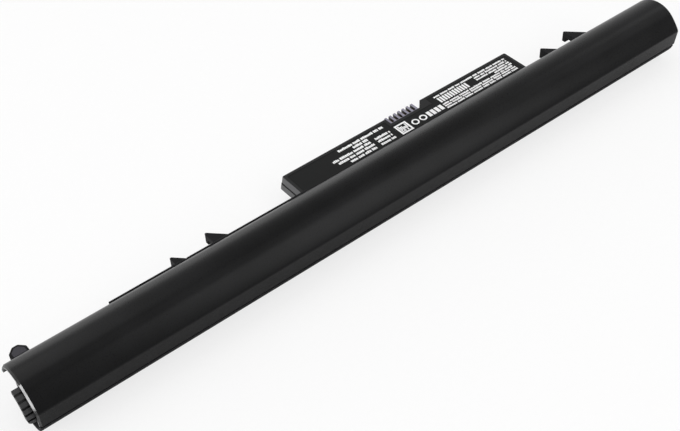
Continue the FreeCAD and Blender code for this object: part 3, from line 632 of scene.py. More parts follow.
# %% The grooved tongue
TONGUE_TOP, TONGUE_SPAN, TONGUE_RIBS = 111.5, 76.0, 6
TONGUE_THICK, TONGUE_ROUND, TONGUE_EDGE = 1.6, 2.0, 0.2
GROOVE_WIDTH, GROOVE_DEPTH = 0.7, 0.6
tongue_end = box_mm("tray")[0].x
groove_angle = math.degrees(GROOVE_WIDTH / PLUG_RADIUS)
rib_pitch = (TONGUE_SPAN + groove_angle) / TONGUE_RIBS
tongue_outline = []
for rib in range(TONGUE_RIBS):
    start = TONGUE_TOP + rib * rib_pitch
    end = start + rib_pitch - groove_angle
    tongue_outline += arc(AXIS, PLUG_RADIUS, start, end, steps=5)
    if rib < TONGUE_RIBS - 1:
        tongue_outline += arc(AXIS, PLUG_RADIUS - GROOVE_DEPTH, end, end + groove_angle, steps=1)
tongue_foot = TONGUE_TOP + TONGUE_SPAN
tongue_outline += arc(AXIS, PLUG_RADIUS - TONGUE_THICK, tongue_foot, TONGUE_TOP, steps=20)
tongue = stretched("grooved_tongue", tongue_outline, tongue_end, wall_middle, TONGUE_EDGE, "X")
print(f"{TONGUE_RIBS} ribs, {rib_pitch:.1f} degrees apart")

# %% Round the corner of the tongue's foot
CUTTER_MARGIN = 1.0
outside_x, round_x = tongue_end - CUTTER_MARGIN, tongue_end + TONGUE_ROUND
corner = [(outside_x, -CUTTER_MARGIN), (round_x, -CUTTER_MARGIN), (round_x, 0)]
corner += arc((round_x, TONGUE_ROUND), TONGUE_ROUND, 270, 180, steps=8)[1:]
corner.append((outside_x, TONGUE_ROUND))
trimmer = stretched("trimmer", corner, PLUG_RADIUS - 2 * TONGUE_THICK, PLUG_RADIUS + CUTTER_MARGIN)
foot_turn = math.radians(tongue_foot)
outwards = Vector((0, math.cos(foot_turn), math.sin(foot_turn)))
up_the_tongue = Vector((0, math.sin(foot_turn), -math.cos(foot_turn)))
placed = Matrix((Vector((1, 0, 0)), up_the_tongue, outwards)).transposed().to_4x4()
trimmer.data.transform(Matrix.Translation(Vector((0, *AXIS)) * MM) @ placed)
worked(tongue, "DIFFERENCE", [trimmer])

# %% [markdown]
# The tongue's ribs are painted paler than the grooves between them: the pale rib tops are painted light
# and the dark grooves painted shade, as the grooves' depth would give. A second colour could be painted on
# by hand. A mask from the place of each point does it without any painting: here the distance from the
# line through the cells tells a rib from a groove. The tongue stays a mesh of its own, so that it can have
# this finish.

# %% Paint light on the ribs and shade in the grooves
PATCH_SIZE, LEAST_PATCH, RIB_FADE = 0.5, 0.7, 0.05
FINE_SPECKS, FINE_DEPTH = 0.3, 0.01


def distance_from_axis(tree):
    """How far a point is from the line through the cells, in metres."""
    axis_place = {0: object_place(tree), 1: Vector((0, *AXIS)) * MM}
    offset = add_node(tree, "VectorMath", axis_place, operation="SUBTRACT").outputs[0]
    across = add_node(tree, "VectorMath", {0: offset, 1: (0, 1, 1)}, operation="MULTIPLY").outputs[0]
    return add_node(tree, "VectorMath", {0: across}, operation="LENGTH").outputs["Value"]


def lit_and_shaded_plastic(name, dark, pale, place, start_mm, end_mm, roughness, sheen=0.5):
    """Painted shade before a start and painted light beyond an end of what the place function measures."""
    finish, tree, shader = new_finish(name, roughness, sheen)
    patchy = between(tree, grain(tree, PATCH_SIZE, detail=3.0), LEAST_PATCH, 1.0)
    beyond = between(tree, place(tree), 0.0, 1.0, start_mm * MM, end_mm * MM)
    coloured(tree, shader, calculated(tree, "MULTIPLY", beyond, patchy), dark, pale)
    specks = grain(tree, FINE_SPECKS)
    roughened(tree, shader, specks, roughness)
    textured(tree, shader, specks, FINE_DEPTH, strength=0.15)
    return finish


# The groove black is painted shade in the grooves, and the rib grey is painted light on the rib tops.
GROOVE_SHADE_BLACK, RIB_LIT_GREY = (0.004, 0.004, 0.004), (0.027, 0.027, 0.028)
groove_floor, rib_top = PLUG_RADIUS - GROOVE_DEPTH, PLUG_RADIUS - RIB_FADE
ribbed_plastic = lit_and_shaded_plastic(
    "ribbed_plastic", GROOVE_SHADE_BLACK, RIB_LIT_GREY, distance_from_axis, groove_floor, rib_top, roughness=0.5
)
dressed(tongue, ribbed_plastic, "case")

# %% [markdown]
# The rail is in two lengths with a slot between them, and it ends at the board panel. The panel's top
# is narrower than the rim of its lid, because its walls lean, so its corners are worked out first.

# %% Rails
PANEL_LEAN = 8.5
lid_low, lid_high = box_mm("board_lid")
PANEL_PART, PANEL_TOP = lid_low.z - SEAM, lid_high.z
LID_SPREAD = (PANEL_TOP - PANEL_PART) * math.tan(math.radians(PANEL_LEAN))
PANEL_NEAR, PANEL_FAR = lid_low.x + LID_SPREAD, lid_high.x - LID_SPREAD
PANEL_EDGE = lid_high.y - LID_SPREAD
RAIL_LOW, RAIL_HIGH, RAIL_OUTER = 7.4, 14.1, 11.6
RAIL_LENGTH, RAIL_SLOT_PLACE, RAIL_SLOT = 74.4, 46.9, 0.9
RAIL_SOFT_LOW, RAIL_SOFT_HIGH, RAIL_EDGE = 0.2, 0.25, 0.15
root_y = BACK_Y - WALL / 2
rail_outline = [(root_y, RAIL_LOW), (RAIL_OUTER, RAIL_LOW), (RAIL_OUTER, RAIL_HIGH)]
rail_outline += [(BACK_Y, RAIL_HIGH), (BACK_Y, BACK_TOP), (root_y, BACK_TOP)]
rail_outline = softened(rail_outline, {1: RAIL_SOFT_LOW, 2: RAIL_SOFT_HIGH, 3: RAIL_SOFT_HIGH})
rail_spans = [
    (PANEL_NEAR - RAIL_LENGTH, PANEL_NEAR - RAIL_SLOT_PLACE - RAIL_SLOT),
    (PANEL_NEAR - RAIL_SLOT_PLACE, lid_low.x - SEAM),
]
rails = [stretched("rail", rail_outline, start, end, RAIL_EDGE, "X") for start, end in rail_spans]
print(f"{len(rails)} rails")

# %% [markdown]
# The lug is a small plate with cut corners. Its top has a smooth face in a grey with a hint of violet,
# inside a dark border. A second material on the top face would need that face cut in two. Here the
# border is what is left round a thin inlay, drawn as the lug's outline moved in by a margin.

# %% The lug and its inlay
LUG_PLACE, LUG_WIDTH, LUG_TIP, LUG_CHAMFER = 4.2, 5.7, 16.9, 1.9
LUG_BOTTOM, LUG_TOP, LUG_SOFT, LUG_EDGE = 8.6, 11.6, 0.4, 0.3
near, far = cover_low.x + LUG_PLACE, cover_low.x + LUG_PLACE + LUG_WIDTH
side_end = LUG_TIP - LUG_CHAMFER
lug_outline = [(near, root_y), (far, root_y), (far, side_end)]
lug_outline += [(far - LUG_CHAMFER, LUG_TIP), (near + LUG_CHAMFER, LUG_TIP), (near, side_end)]
soft_lug = softened(lug_outline, {number: LUG_SOFT for number in (2, 3, 4, 5)})
lug = stretched("lug", soft_lug, LUG_BOTTOM, LUG_TOP, LUG_EDGE)
FACE_START, FACE_MARGIN, FACE_THICK = 12.2, 0.8, 0.04
face_points = [Vector(point) for point in [(near, FACE_START), (far, FACE_START)] + lug_outline[2:]]
face_outline = [tuple(point - step * FACE_MARGIN) for point, step in zip(face_points, mitres(face_points))]
lug_face = stretched("lug_face", face_outline, LUG_TOP, LUG_TOP + FACE_THICK)
LILAC_GREYS = (0.031, 0.030, 0.037), (0.041, 0.039, 0.048)
lilac_plastic = moulded_plastic("lilac_plastic", *LILAC_GREYS, speck_mm=0.3, roughness=0.45, relief=0.2)
dressed(lug_face, lilac_plastic, "case")

# %% [markdown]
# ## The lower half of the board panel
#
# The panel that holds the circuit board is a thin box split at mid-height. Its lower half belongs to
# the tray. Its walls lean in towards the top, as moulded walls do. The same outline serves for both
# halves: only the amount by which it is wider than the lid's rim changes. The lower half stays a mesh
# of its own here, so that it can have the panel's finish.

# %% Shape the panel's lower half and join the saddles, rails and lug
PANEL_BOTTOM = 3.9
BASE_SPREAD = (PANEL_PART - PANEL_BOTTOM) * math.tan(math.radians(PANEL_LEAN))
PANEL_CORNER, BASE_EDGE = 1.2, 0.2


def panel_outline(wider, back):
    """The lid's outline at its rim, wider by an amount and from a back edge outwards."""
    corners = box_outline(lid_low.x - wider, lid_high.x + wider, back, lid_high.y + wider)
    return softened(corners, {2: PANEL_CORNER, 3: PANEL_CORNER}, steps=6)


base_outline = panel_outline(BASE_SPREAD, BACK_Y)
panel_base = stretched("panel_base", base_outline, PANEL_BOTTOM, PANEL_PART, BASE_EDGE, lean=PANEL_LEAN)
worked(tray, "UNION", [*ribs, *rails, lug])

# %% [markdown]
# The panel's near wall is painted grey: painted light where the lamps at the near end fall on it. The seam
# between the two halves stays dark as painted shade in the gap. One mask does both. It measures the place
# along the bar, and beside the seam it adds to it, as if the wall lay further in there.

# %% Mix the panel's plastic
SEAM_DARK, SEAM_PALE, SEAM_PUSH = 0.25, 0.5, 2.0
WALL_FADE = 0.25


def place_off_seam(tree):
    """The place along the bar, pushed away from the near wall beside the seam between the halves."""
    axes = object_axes(tree)
    offset = calculated(tree, "SUBTRACT", axes["Z"], (PANEL_PART + SEAM / 2) * MM)
    from_seam = calculated(tree, "ABSOLUTE", offset)
    push = between(tree, from_seam, SEAM_PUSH * MM, 0.0, SEAM_DARK * MM, SEAM_PALE * MM)
    return calculated(tree, "ADD", axes["X"], push)


# The near wall's grey is painted light, and the dark band at the seam is painted shade.
PANEL_BLACK, NEAR_WALL_LIT_GREY = (0.008, 0.008, 0.0085), (0.11, 0.11, 0.113)
lit_start, lit_end = PANEL_NEAR + WALL_FADE, PANEL_NEAR
panel_plastic = lit_and_shaded_plastic(
    "panel_plastic", PANEL_BLACK, NEAR_WALL_LIT_GREY, place_off_seam, lit_start, lit_end,
    roughness=0.42, sheen=0.25,
)
print("mixed", panel_plastic.name)

# %% [markdown]
# ## Hooks
#
# Two pairs of hooks hold the pack in its bay. Each is a flat wedge: square to the bar on one side,
# sloped on the other, with a blunt tip. The big ones are thinner along their arm, which leaves a barb
# below the tip. The wedges go on first, and then a block is cut away under each arm.

# %% Add the hooks
HOOK_TOP, HOOK_BOTTOM, ARM_BOTTOM = 11.6, 7.6, 9.6
HOOK_BLUNT, HOOK_SOFT, HOOK_EDGE = 0.6, 0.3, 0.15
SMALL_TIP, BIG_TIP, BARB_LENGTH = 17.0, 18.8, 1.5
NEAR_HOOK_PLACE, FAR_HOOK_PLACE, HOOK_SPACING = 35.8, 9.3, 14.2
ARM_CUT_LENGTH = 10.0
near_big, far_small = PANEL_NEAR - NEAR_HOOK_PLACE, PANEL_FAR + FAR_HOOK_PLACE
small_faces, big_faces = (near_big - HOOK_SPACING, far_small), (near_big, far_small + HOOK_SPACING)
hooks = []
for tip, faces in ((SMALL_TIP, small_faces), (BIG_TIP, big_faces)):
    for face in faces:
        blunt = face + HOOK_BLUNT
        wedge = [(face, root_y), (blunt + tip - root_y, root_y), (blunt, tip), (face, tip)]
        wedge = softened(wedge, {2: HOOK_SOFT, 3: HOOK_SOFT})
        hooks.append(stretched("hook", wedge, HOOK_BOTTOM, HOOK_TOP, HOOK_EDGE))
worked(tray, "UNION", hooks)
under_arms = []
for face in big_faces:
    cut_start, cut_end = face - CUTTER_MARGIN, face + ARM_CUT_LENGTH
    under = box_outline(cut_start, cut_end, RAIL_OUTER, BIG_TIP - BARB_LENGTH)
    under_arms.append(stretched("under_arm", under, HOOK_BOTTOM - CUTTER_MARGIN, ARM_BOTTOM))
worked(tray, "DIFFERENCE", under_arms)

# %% [markdown]
# ## Room for the board
#
# The lower half is hollow, and windows in the back wall let the strips and wires through from the
# cells. The connector's notch is open to the outside and flares on its far side. None of it shows much,
# but a mesh that leaves no room for its insides would be a poor model of the real tray.

# %% Hollow out the panel's lower half
FLOOR_TOP, CEILING = PANEL_BOTTOM + WALL, PANEL_TOP - WALL
connector_low, connector_high = box_mm("connector_housing")
CONNECTOR_NEAR, CONNECTOR_FAR, CONNECTOR_FRONT = connector_low.x, connector_high.x, connector_high.y
NOTCH_DEPTH, NOTCH_FLARE, NOTCH_FIT = 3.2, 3.6, 0.15
NOTCH_BACK, NOTCH_FRONT = PANEL_EDGE - NOTCH_DEPTH, CONNECTOR_FRONT + WALL
NOTCH_NEAR, NOTCH_FAR = CONNECTOR_NEAR - NOTCH_FIT, CONNECTOR_FAR + NOTCH_FIT
flare_end = NOTCH_FAR + NOTCH_FLARE
notch_outline = [(NOTCH_NEAR, NOTCH_BACK), (NOTCH_FAR, NOTCH_BACK), (flare_end, CONNECTOR_FRONT)]
notch_outline += [(flare_end, NOTCH_FRONT), (NOTCH_NEAR, NOTCH_FRONT)]
room_outline = box_outline(lid_low.x + WALL, lid_high.x - WALL, BACK_Y - WALL, lid_high.y - WALL)
for name, outline in (("room", room_outline), ("notch", notch_outline)):
    worked(panel_base, "DIFFERENCE", [stretched(name, outline, FLOOR_TOP, PANEL_PART + WALL)])
dressed(panel_base, panel_plastic, "case")

# %% Cut the windows in the back wall
WINDOW_WIDTH, BUS_INSET, WIRE_RUN = 4.0, 4.0, 13.5
panel_middle = (PANEL_NEAR + PANEL_FAR) / 2
links = [sum(corner.x for corner in box_mm(name)) / 2 for name in ("series_link_2", "series_link_3")]
strips = [PANEL_NEAR + BUS_INSET, PANEL_FAR - BUS_INSET]
windows = []
for middle in [*strips, *links, strips[0] + WIRE_RUN, panel_middle + WIRE_RUN]:
    sides = middle - WINDOW_WIDTH / 2, middle + WINDOW_WIDTH / 2
    hole = box_outline(*sides, BACK_Y - 2 * WALL, BACK_Y + WALL / 2)
    windows.append(stretched("window", hole, FLOOR_TOP, CEILING))
worked(tray, "DIFFERENCE", windows)
dressed(tray, tray_plastic, "case", "tray")

# %% [markdown]
# ## The lid of the board panel
#
# The panel's upper half is a shallow lid with leaning walls and a slightly rounded top edge. It has a
# notch for the connector and a shallow recess that the label sits in, stepped back round the notch.

# %% Shape the lid
LID_EDGE = 0.25
lid = stretched("lid_moulding", panel_outline(0, lid_low.y), lid_low.z, PANEL_TOP, LID_EDGE, lean=PANEL_LEAN)
lid_room = box_outline(PANEL_NEAR + WALL, PANEL_FAR - WALL, BACK_Y - WALL, PANEL_EDGE - WALL)
worked(lid, "DIFFERENCE", [stretched("lid_room", lid_room, lid_low.z - WALL, CEILING)])
worked(lid, "DIFFERENCE", [stretched("lid_notch", notch_outline, lid_low.z - WALL, PANEL_TOP + WALL)])

LABEL_MARGIN, LABEL_FIT, LABEL_CORNER = 1.2, 0.1, 0.6
label_low, label_high = box_mm("label")
recess_near, recess_far = label_low.x - LABEL_FIT, label_high.x + LABEL_FIT
recess_back, recess_edge = label_low.y - LABEL_FIT, label_high.y + LABEL_FIT
step_near, step_far = NOTCH_NEAR - LABEL_MARGIN, flare_end + LABEL_MARGIN
recess_step = NOTCH_BACK - LABEL_MARGIN
recess = [(recess_near, recess_back), (recess_far, recess_back), (recess_far, recess_edge)]
recess += [(step_far, recess_edge), (step_far, recess_step), (step_near, recess_step)]
recess += [(step_near, recess_edge), (recess_near, recess_edge)]
recess = softened(recess, {number: LABEL_CORNER for number in (0, 1, 2, 7)})
worked(lid, "DIFFERENCE", [stretched("recess", recess, label_low.z, PANEL_TOP + WALL)])
dressed(lid, panel_plastic, "case", "board_lid")

# %% [markdown]
# ## Connector
#
# The laptop's blades slide into slots between the connector's fins. Seen from above it is a comb, so
# a comb is what gets stretched, with soft edges that catch the light. A floor below it and a block
# behind it, both hidden by the lid, make it one piece. Thin channels leave room for the contacts.

# %% Shape the connector
SLOTS, SLOT_PITCH, SLOT_WIDTH, SLOT_LENGTH = 6, 2.0, 1.0, 3.4
FIN_SOFT, FIN_EDGE, FIN_OVERLAP = 0.25, 0.15, 0.2
COMB_BACK, SLOT_BACK = NOTCH_BACK + NOTCH_FIT, CONNECTOR_FRONT - SLOT_LENGTH
COMB_BOTTOM, COMB_TOP = connector_low.z, connector_high.z
BOARD_TOP = box_mm("circuit_board")[1].z
first_slot = CONNECTOR_NEAR + SLOT_PITCH - SLOT_WIDTH / 2
slot_middles = [first_slot + slot * SLOT_PITCH for slot in range(SLOTS)]
comb_outline = [(CONNECTOR_FAR, COMB_BACK), (CONNECTOR_NEAR, COMB_BACK), (CONNECTOR_NEAR, CONNECTOR_FRONT)]
for middle in slot_middles:
    low, high = middle - SLOT_WIDTH / 2, middle + SLOT_WIDTH / 2
    comb_outline += [(low, CONNECTOR_FRONT), (low, SLOT_BACK), (high, SLOT_BACK), (high, CONNECTOR_FRONT)]
comb_outline.append((CONNECTOR_FAR, CONNECTOR_FRONT))
tips = {number: FIN_SOFT for number, point in enumerate(comb_outline) if point[1] == CONNECTOR_FRONT}
soft_comb = softened(comb_outline, tips)
comb = stretched("connector_comb", soft_comb, BOARD_TOP - FIN_OVERLAP, COMB_TOP, FIN_EDGE)
print(f"{SLOTS} slots, {COMB_TOP - BOARD_TOP:.1f} mm above the board")

# %% Close the connector's back and floor, and cut its channels
BLOCK_EDGE, BLOCK_INSET, BLOCK_OVERLAP, BLOCK_GAP = 0.1, 0.02, 0.3, 0.1
CHANNEL_WIDTH, CHANNEL_GAP = 0.3, 0.45
floor_outline = box_outline(CONNECTOR_NEAR, CONNECTOR_FAR, COMB_BACK, CONNECTOR_FRONT)
comb_floor = stretched("comb_floor", floor_outline, COMB_BOTTOM, BOARD_TOP, BLOCK_EDGE)
worked(comb, "UNION", [comb_floor])
block_near, block_far = CONNECTOR_NEAR + BLOCK_INSET, CONNECTOR_FAR - BLOCK_INSET
block_outline = box_outline(block_near, block_far, connector_low.y, COMB_BACK + BLOCK_OVERLAP)
comb_block = stretched("comb_block", block_outline, BOARD_TOP, CEILING - BLOCK_GAP, BLOCK_EDGE)
worked(comb, "UNION", [comb_block])
channels = []
for middle in slot_middles:
    sides = middle - CHANNEL_WIDTH / 2, middle + CHANNEL_WIDTH / 2
    channel = box_outline(*sides, connector_low.y - WALL, SLOT_BACK + WALL / 2)
    channels.append(stretched("channel", channel, BOARD_TOP, CEILING - CHANNEL_GAP))
worked(comb, "DIFFERENCE", channels)

# %% [markdown]
# The connector's plastic is harder and smoother than the case's, in a grey with a hint of violet. Its
# fins stand out as pale strokes, because their tops catch the light and the slots don't: a mask from the
# height paints that in, with painted light on the fin tops and painted shade in the slots. The contacts
# are thin gilded springs. On metal, streaks along the rolling direction look better than round specks.

# %% Finish the connector and its contacts
STREAK_SIZE, STREAK_DEPTH, STREAK = 0.08, 0.005, 20
FADE_START, FADE_END = 0.15, 0.02


def rolled_metal(name, dark, light, roughness, streak):
    """Sheet metal with streaks as long as their stretch along each axis."""
    finish, tree, shader = new_finish(name, roughness, metallic=1.0)
    coloured(tree, shader, grain(tree, size_mm=2.0), dark, light)
    streaks = grain(tree, STREAK_SIZE, detail=3.0, stretch=streak)
    roughened(tree, shader, streaks, roughness, less=0.08, more=0.1)
    textured(tree, shader, streaks, STREAK_DEPTH, strength=0.15)
    return finish


def height_above_floor(tree):
    return object_axes(tree)["Z"]


# The slot black is painted shade, and the fin lilac on the tops is painted light.
SLOT_SHADE_BLACK, FIN_LIT_LILAC = (0.008, 0.008, 0.011), (0.25, 0.24, 0.30)
fade_start, fade_end = COMB_TOP - FADE_START, COMB_TOP - FADE_END
fin_plastic = lit_and_shaded_plastic(
    "fin_plastic", SLOT_SHADE_BLACK, FIN_LIT_LILAC, height_above_floor, fade_start, fade_end, roughness=0.32
)
dressed(comb, fin_plastic, "connector_plastic", "connector_housing")
GILT = (0.32, 0.22, 0.09), (0.44, 0.31, 0.14)
gilded_spring = rolled_metal("gilded_spring", *GILT, roughness=0.3, streak=(1, STREAK, 1))
painted(gilded_spring, "contacts")

# %% [markdown]
# ## Label and print
#
# The label is a matte black film. Its print is white ink, laid out in short lines beside a few plain
# marks. Here each printed word is only a row of small blocks: it keeps the print's grey value and
# rhythm without saying anything. The ink is real geometry, a hundredth of a millimetre thick, so it
# also survives in an exported mesh.

# %% The film's finish and the ink
FILM_DEPTH = 0.01
FILM_BLACKS = (0.006, 0.0063, 0.0063), (0.009, 0.0094, 0.0094)
INK_WHITES = (0.86, 0.86, 0.86), (0.93, 0.93, 0.93)


def film(name, dark, light, speck_mm, roughness, sheen=0.5):
    """A mottled sheet or coat, such as film, ink, paper or foam."""
    finish, tree, shader = new_finish(name, roughness, sheen)
    mottling = grain(tree, speck_mm, detail=4.0)
    coloured(tree, shader, mottling, dark, light)
    roughened(tree, shader, mottling, roughness, less=0.06, more=0.06)
    textured(tree, shader, mottling, FILM_DEPTH, strength=0.15)
    return finish


matte_film = film("matte_film", *FILM_BLACKS, speck_mm=0.5, roughness=0.5, sheen=0.12)
white_ink = film("white_ink", *INK_WHITES, speck_mm=0.15, roughness=0.55)
painted(matte_film, "label")

# %% Lay out the lines of print
INK_BOTTOM, INK_THICK = label_high.z, 0.012
WORD_LETTERS, LETTER_WIDTHS, LETTER_RISES = (3, 8), (0.45, 0.85), (0.6, 0.8, 1.0)
LETTER_GAP, WORD_GAP, LINE_REST = 0.08, 0.45, 0.5
dice = random.Random(7)


def ink_block(x_low, x_high, y_low, y_high):
    return stretched("ink", box_outline(x_low, x_high, y_low, y_high), INK_BOTTOM, INK_BOTTOM + INK_THICK)


def printed_line(start, end, middle, height):
    """A line of words, each a row of small blocks."""
    blocks, x = [], start
    while x < end - LINE_REST:
        for _ in range(dice.randint(*WORD_LETTERS)):
            width = dice.uniform(*LETTER_WIDTHS)
            if x + width > end:
                break
            rise = height / 2 * dice.choice(LETTER_RISES)
            blocks.append(ink_block(x, x + width, middle - height / 2, middle + rise))
            x += width + LETTER_GAP
        x += WORD_GAP
    return blocks


# Each line has its start and end along the bar and its middle across it.
BIG_PRINT, SMALL_PRINT = 1.15, 0.85
BIG_LINES = [
    (11.6, 18.6, 16.6), (11.6, 18.6, 18.4), (11.6, 18.6, 20.1),
    (-1.9, 9.9, 16.6), (-5.8, 9.9, 18.4), (-7.0, 9.9, 20.1), (3.1, 9.9, 21.8), (-2.1, 18.6, 23.5),
]
SMALL_LINES = [
    (42.1, 77.8, 16.4), (42.1, 77.8, 17.6), (42.1, 77.8, 18.7), (68.8, 77.8, 19.9),
    (60.8, 77.8, 21.1), (60.8, 77.8, 22.4), (42.1, 77.8, 23.7),
]
ink = []
for lines, height in ((BIG_LINES, BIG_PRINT), (SMALL_LINES, SMALL_PRINT)):
    for line in lines:
        ink += printed_line(*line, height)
print(f"{len(BIG_LINES) + len(SMALL_LINES)} lines, {len(ink)} blocks of ink")

# %% Plain marks beside the lines
SQUARE, SQUARE_LINE, FRAME_GAP = (20.6, 25.8, 15.6, 20.9), 0.7, 0.02
DOT_ROWS, DOT_PITCH, DOT_SIZE, DOT_SHARE = 6, 0.59, 0.52, 0.7
DOTS_LEFT, DOTS_LOW = 21.45, 16.5
RING_PLACES, RING_MIDDLE, RING_RADIUS, RING_LINE = (28.4, 32.0), 18.0, 1.5, 0.6
RING_CUT = 0.1


def ink_ring(x, y, radius, width):
    rim = arc((x, y), radius, 0, 360, steps=32)[:-1]
    hole = arc((x, y), radius - width, 0, 360, steps=32)[:-1]
    ring = stretched("ink", rim, INK_BOTTOM, INK_BOTTOM + INK_THICK)
    worked(ring, "DIFFERENCE", [stretched("hole", hole, INK_BOTTOM - RING_CUT, INK_BOTTOM + RING_CUT)])
    return ring


def ink_frame(x_low, x_high, y_low, y_high, width):
    """A square frame, as four bars that don't touch."""
    sides = [(x_low, x_high, y_low, y_low + width), (x_low, x_high, y_high - width, y_high)]
    inner_low, inner_high = y_low + width + FRAME_GAP, y_high - width - FRAME_GAP
    sides += [(x_low, x_low + width, inner_low, inner_high), (x_high - width, x_high, inner_low, inner_high)]
    return [ink_block(*side) for side in sides]


def ink_bars(count, start, end, pitch, low, high):
    """A row of bars, from the start and end of the first one."""
    return [ink_block(start + step * pitch, end + step * pitch, low, high) for step in range(count)]


marks = ink_frame(*SQUARE, SQUARE_LINE)
for column in range(DOT_ROWS):
    for row in range(DOT_ROWS):
        if dice.random() < DOT_SHARE:
            left, low = DOTS_LEFT + DOT_PITCH * column, DOTS_LOW + DOT_PITCH * row
            marks.append(ink_block(left, left + DOT_SIZE, low, low + DOT_SIZE))
marks += [ink_ring(x, RING_MIDDLE, RING_RADIUS, RING_LINE) for x in RING_PLACES]
marks += ink_bars(count=4, start=34.2, end=35.6, pitch=1.9, low=16.6, high=19.4)
marks += ink_bars(count=12, start=42.5, end=43.3, pitch=1.2, low=19.8, high=22.7)
label_print = gathered(ink + marks)
label_print.name = "label_print"
dressed(label_print, white_ink, "label_film")

# %% [markdown]
# ## Inside the pack
#
# The cells, strips and board are closed in, yet they are part of the model, so each gets the finish
# that its real counterpart has: a shrink sleeve on the cells, rolled nickel for the strips, fibre paper
# and foam where something must not rub, and solder mask with copper tracks showing through on the board.

# %% Sleeves, strips, paper and foam
def shrink_sleeve(name, dark, light, roughness):
    """Thin film with wrinkles along the cell."""
    finish, tree, shader = new_finish(name, roughness)
    coloured(tree, shader, grain(tree, size_mm=20.0), dark, light)
    wrinkles = grain(tree, size_mm=1.2, detail=3.0, stretch=(6, 1, 1))
    roughened(tree, shader, wrinkles, roughness, less=0.06, more=0.08)
    textured(tree, shader, wrinkles, depth_mm=0.05, strength=0.25)
    return finish


WRAP_GREENS = (0.05, 0.20, 0.15), (0.07, 0.26, 0.19)
NICKEL_GREYS = (0.52, 0.50, 0.46), (0.62, 0.60, 0.56)
cell_wrap = shrink_sleeve("cell_wrap", *WRAP_GREENS, roughness=0.28)
nickel = rolled_metal("rolled_nickel", *NICKEL_GREYS, roughness=0.34, streak=(STREAK, 1, 1))
fibre_paper = film("fibre_paper", (0.60, 0.58, 0.52), (0.74, 0.72, 0.66), speck_mm=0.4, roughness=0.8)
closed_foam = film("closed_foam", (0.03, 0.03, 0.03), (0.07, 0.07, 0.07), speck_mm=0.6, roughness=0.9)
painted(cell_wrap, "cell_1", "cell_2", "cell_3", "cell_4")
painted(nickel, "series_link_1", "series_link_2", "series_link_3", "negative_bus", "positive_bus")
painted(fibre_paper, "insulator_rings")
painted(closed_foam, "near_end_pad", "far_end_pad")

# %% [markdown]
# The board's tracks are a Brick Texture: its mortar lines stand for copper under the green mask, and its
# bump raises them a little. What is soldered on needs only plain finishes, each in its own colour.

# %% The board and what is soldered to it
TRACK_SCALE, TRACK_WIDTH, MASK_SHADE = 260.0, 0.03, 0.85


def solder_mask(name, mask, track, roughness):
    """Green lacquer over copper tracks."""
    finish, tree, shader = new_finish(name, roughness)
    layout = {"Vector": object_place(tree), "Scale": TRACK_SCALE, "Mortar Size": TRACK_WIDTH}
    tracks = add_node(tree, "TexBrick", layout)
    shaded = [MASK_SHADE * part for part in mask]
    for socket, colour in (("Color1", mask), ("Color2", shaded), ("Mortar", track)):
        tracks.inputs[socket].default_value = (*colour, 1.0)
    tree.links.new(tracks.outputs["Color"], shader.inputs["Base Color"])
    roughened(tree, shader, grain(tree, size_mm=0.4), roughness, more=0.08)
    textured(tree, shader, tracks.outputs["Fac"], depth_mm=0.03, strength=0.3)
    return finish


def smooth_plastic(name, dark, light, roughness):
    """A smooth coat with hardly any relief, as on sleeves and ceramics."""
    finish, tree, shader = new_finish(name, roughness)
    coloured(tree, shader, grain(tree, size_mm=3.0), dark, light)
    specks = grain(tree, FINE_SPECKS)
    roughened(tree, shader, specks, roughness)
    textured(tree, shader, specks, FINE_DEPTH, strength=0.1)
    return finish


CHIP_BLACKS = (0.018, 0.018, 0.018), (0.03, 0.03, 0.03)
board_mask = solder_mask("board_mask", (0.025, 0.13, 0.06), (0.06, 0.22, 0.10), roughness=0.3)
chip_epoxy = moulded_plastic("chip_epoxy", *CHIP_BLACKS, speck_mm=0.2, roughness=0.55, relief=0.2)
fuse_ceramic = smooth_plastic("fuse_ceramic", (0.62, 0.60, 0.54), (0.74, 0.72, 0.66), roughness=0.4)
resistor_coat = smooth_plastic("resistor_coat", (0.03, 0.03, 0.035), (0.05, 0.05, 0.055), roughness=0.45)
tan_ceramic = smooth_plastic("tan_ceramic", (0.36, 0.25, 0.14), (0.46, 0.33, 0.20), roughness=0.35)
red_sleeve = smooth_plastic("red_sleeve", (0.42, 0.03, 0.02), (0.52, 0.05, 0.03), roughness=0.38)
black_sleeve = smooth_plastic("black_sleeve", (0.015, 0.015, 0.015), (0.03, 0.03, 0.03), roughness=0.4)
painted(board_mask, "circuit_board")
painted(chip_epoxy, "gauge_chip", "power_switches")
painted(fuse_ceramic, "fuse")
painted(resistor_coat, "sense_resistor")
painted(tan_ceramic, "capacitors")
painted(red_sleeve, "sense_wire")
painted(black_sleeve, "thermistor")

# %% [markdown]
# ## Studio
#
# The photograph has a white ground and soft light. The floor is plain white paper. Lamps strong enough
# to make it pure white would wash out the part, so three quarters of its white is a glow that only the
# camera and mirrored rays see. The rest is lit, and keeps the shadow. In its mirror image the floor has
# no glow just in front of the bar, so that the facet mirrors the shadow there.

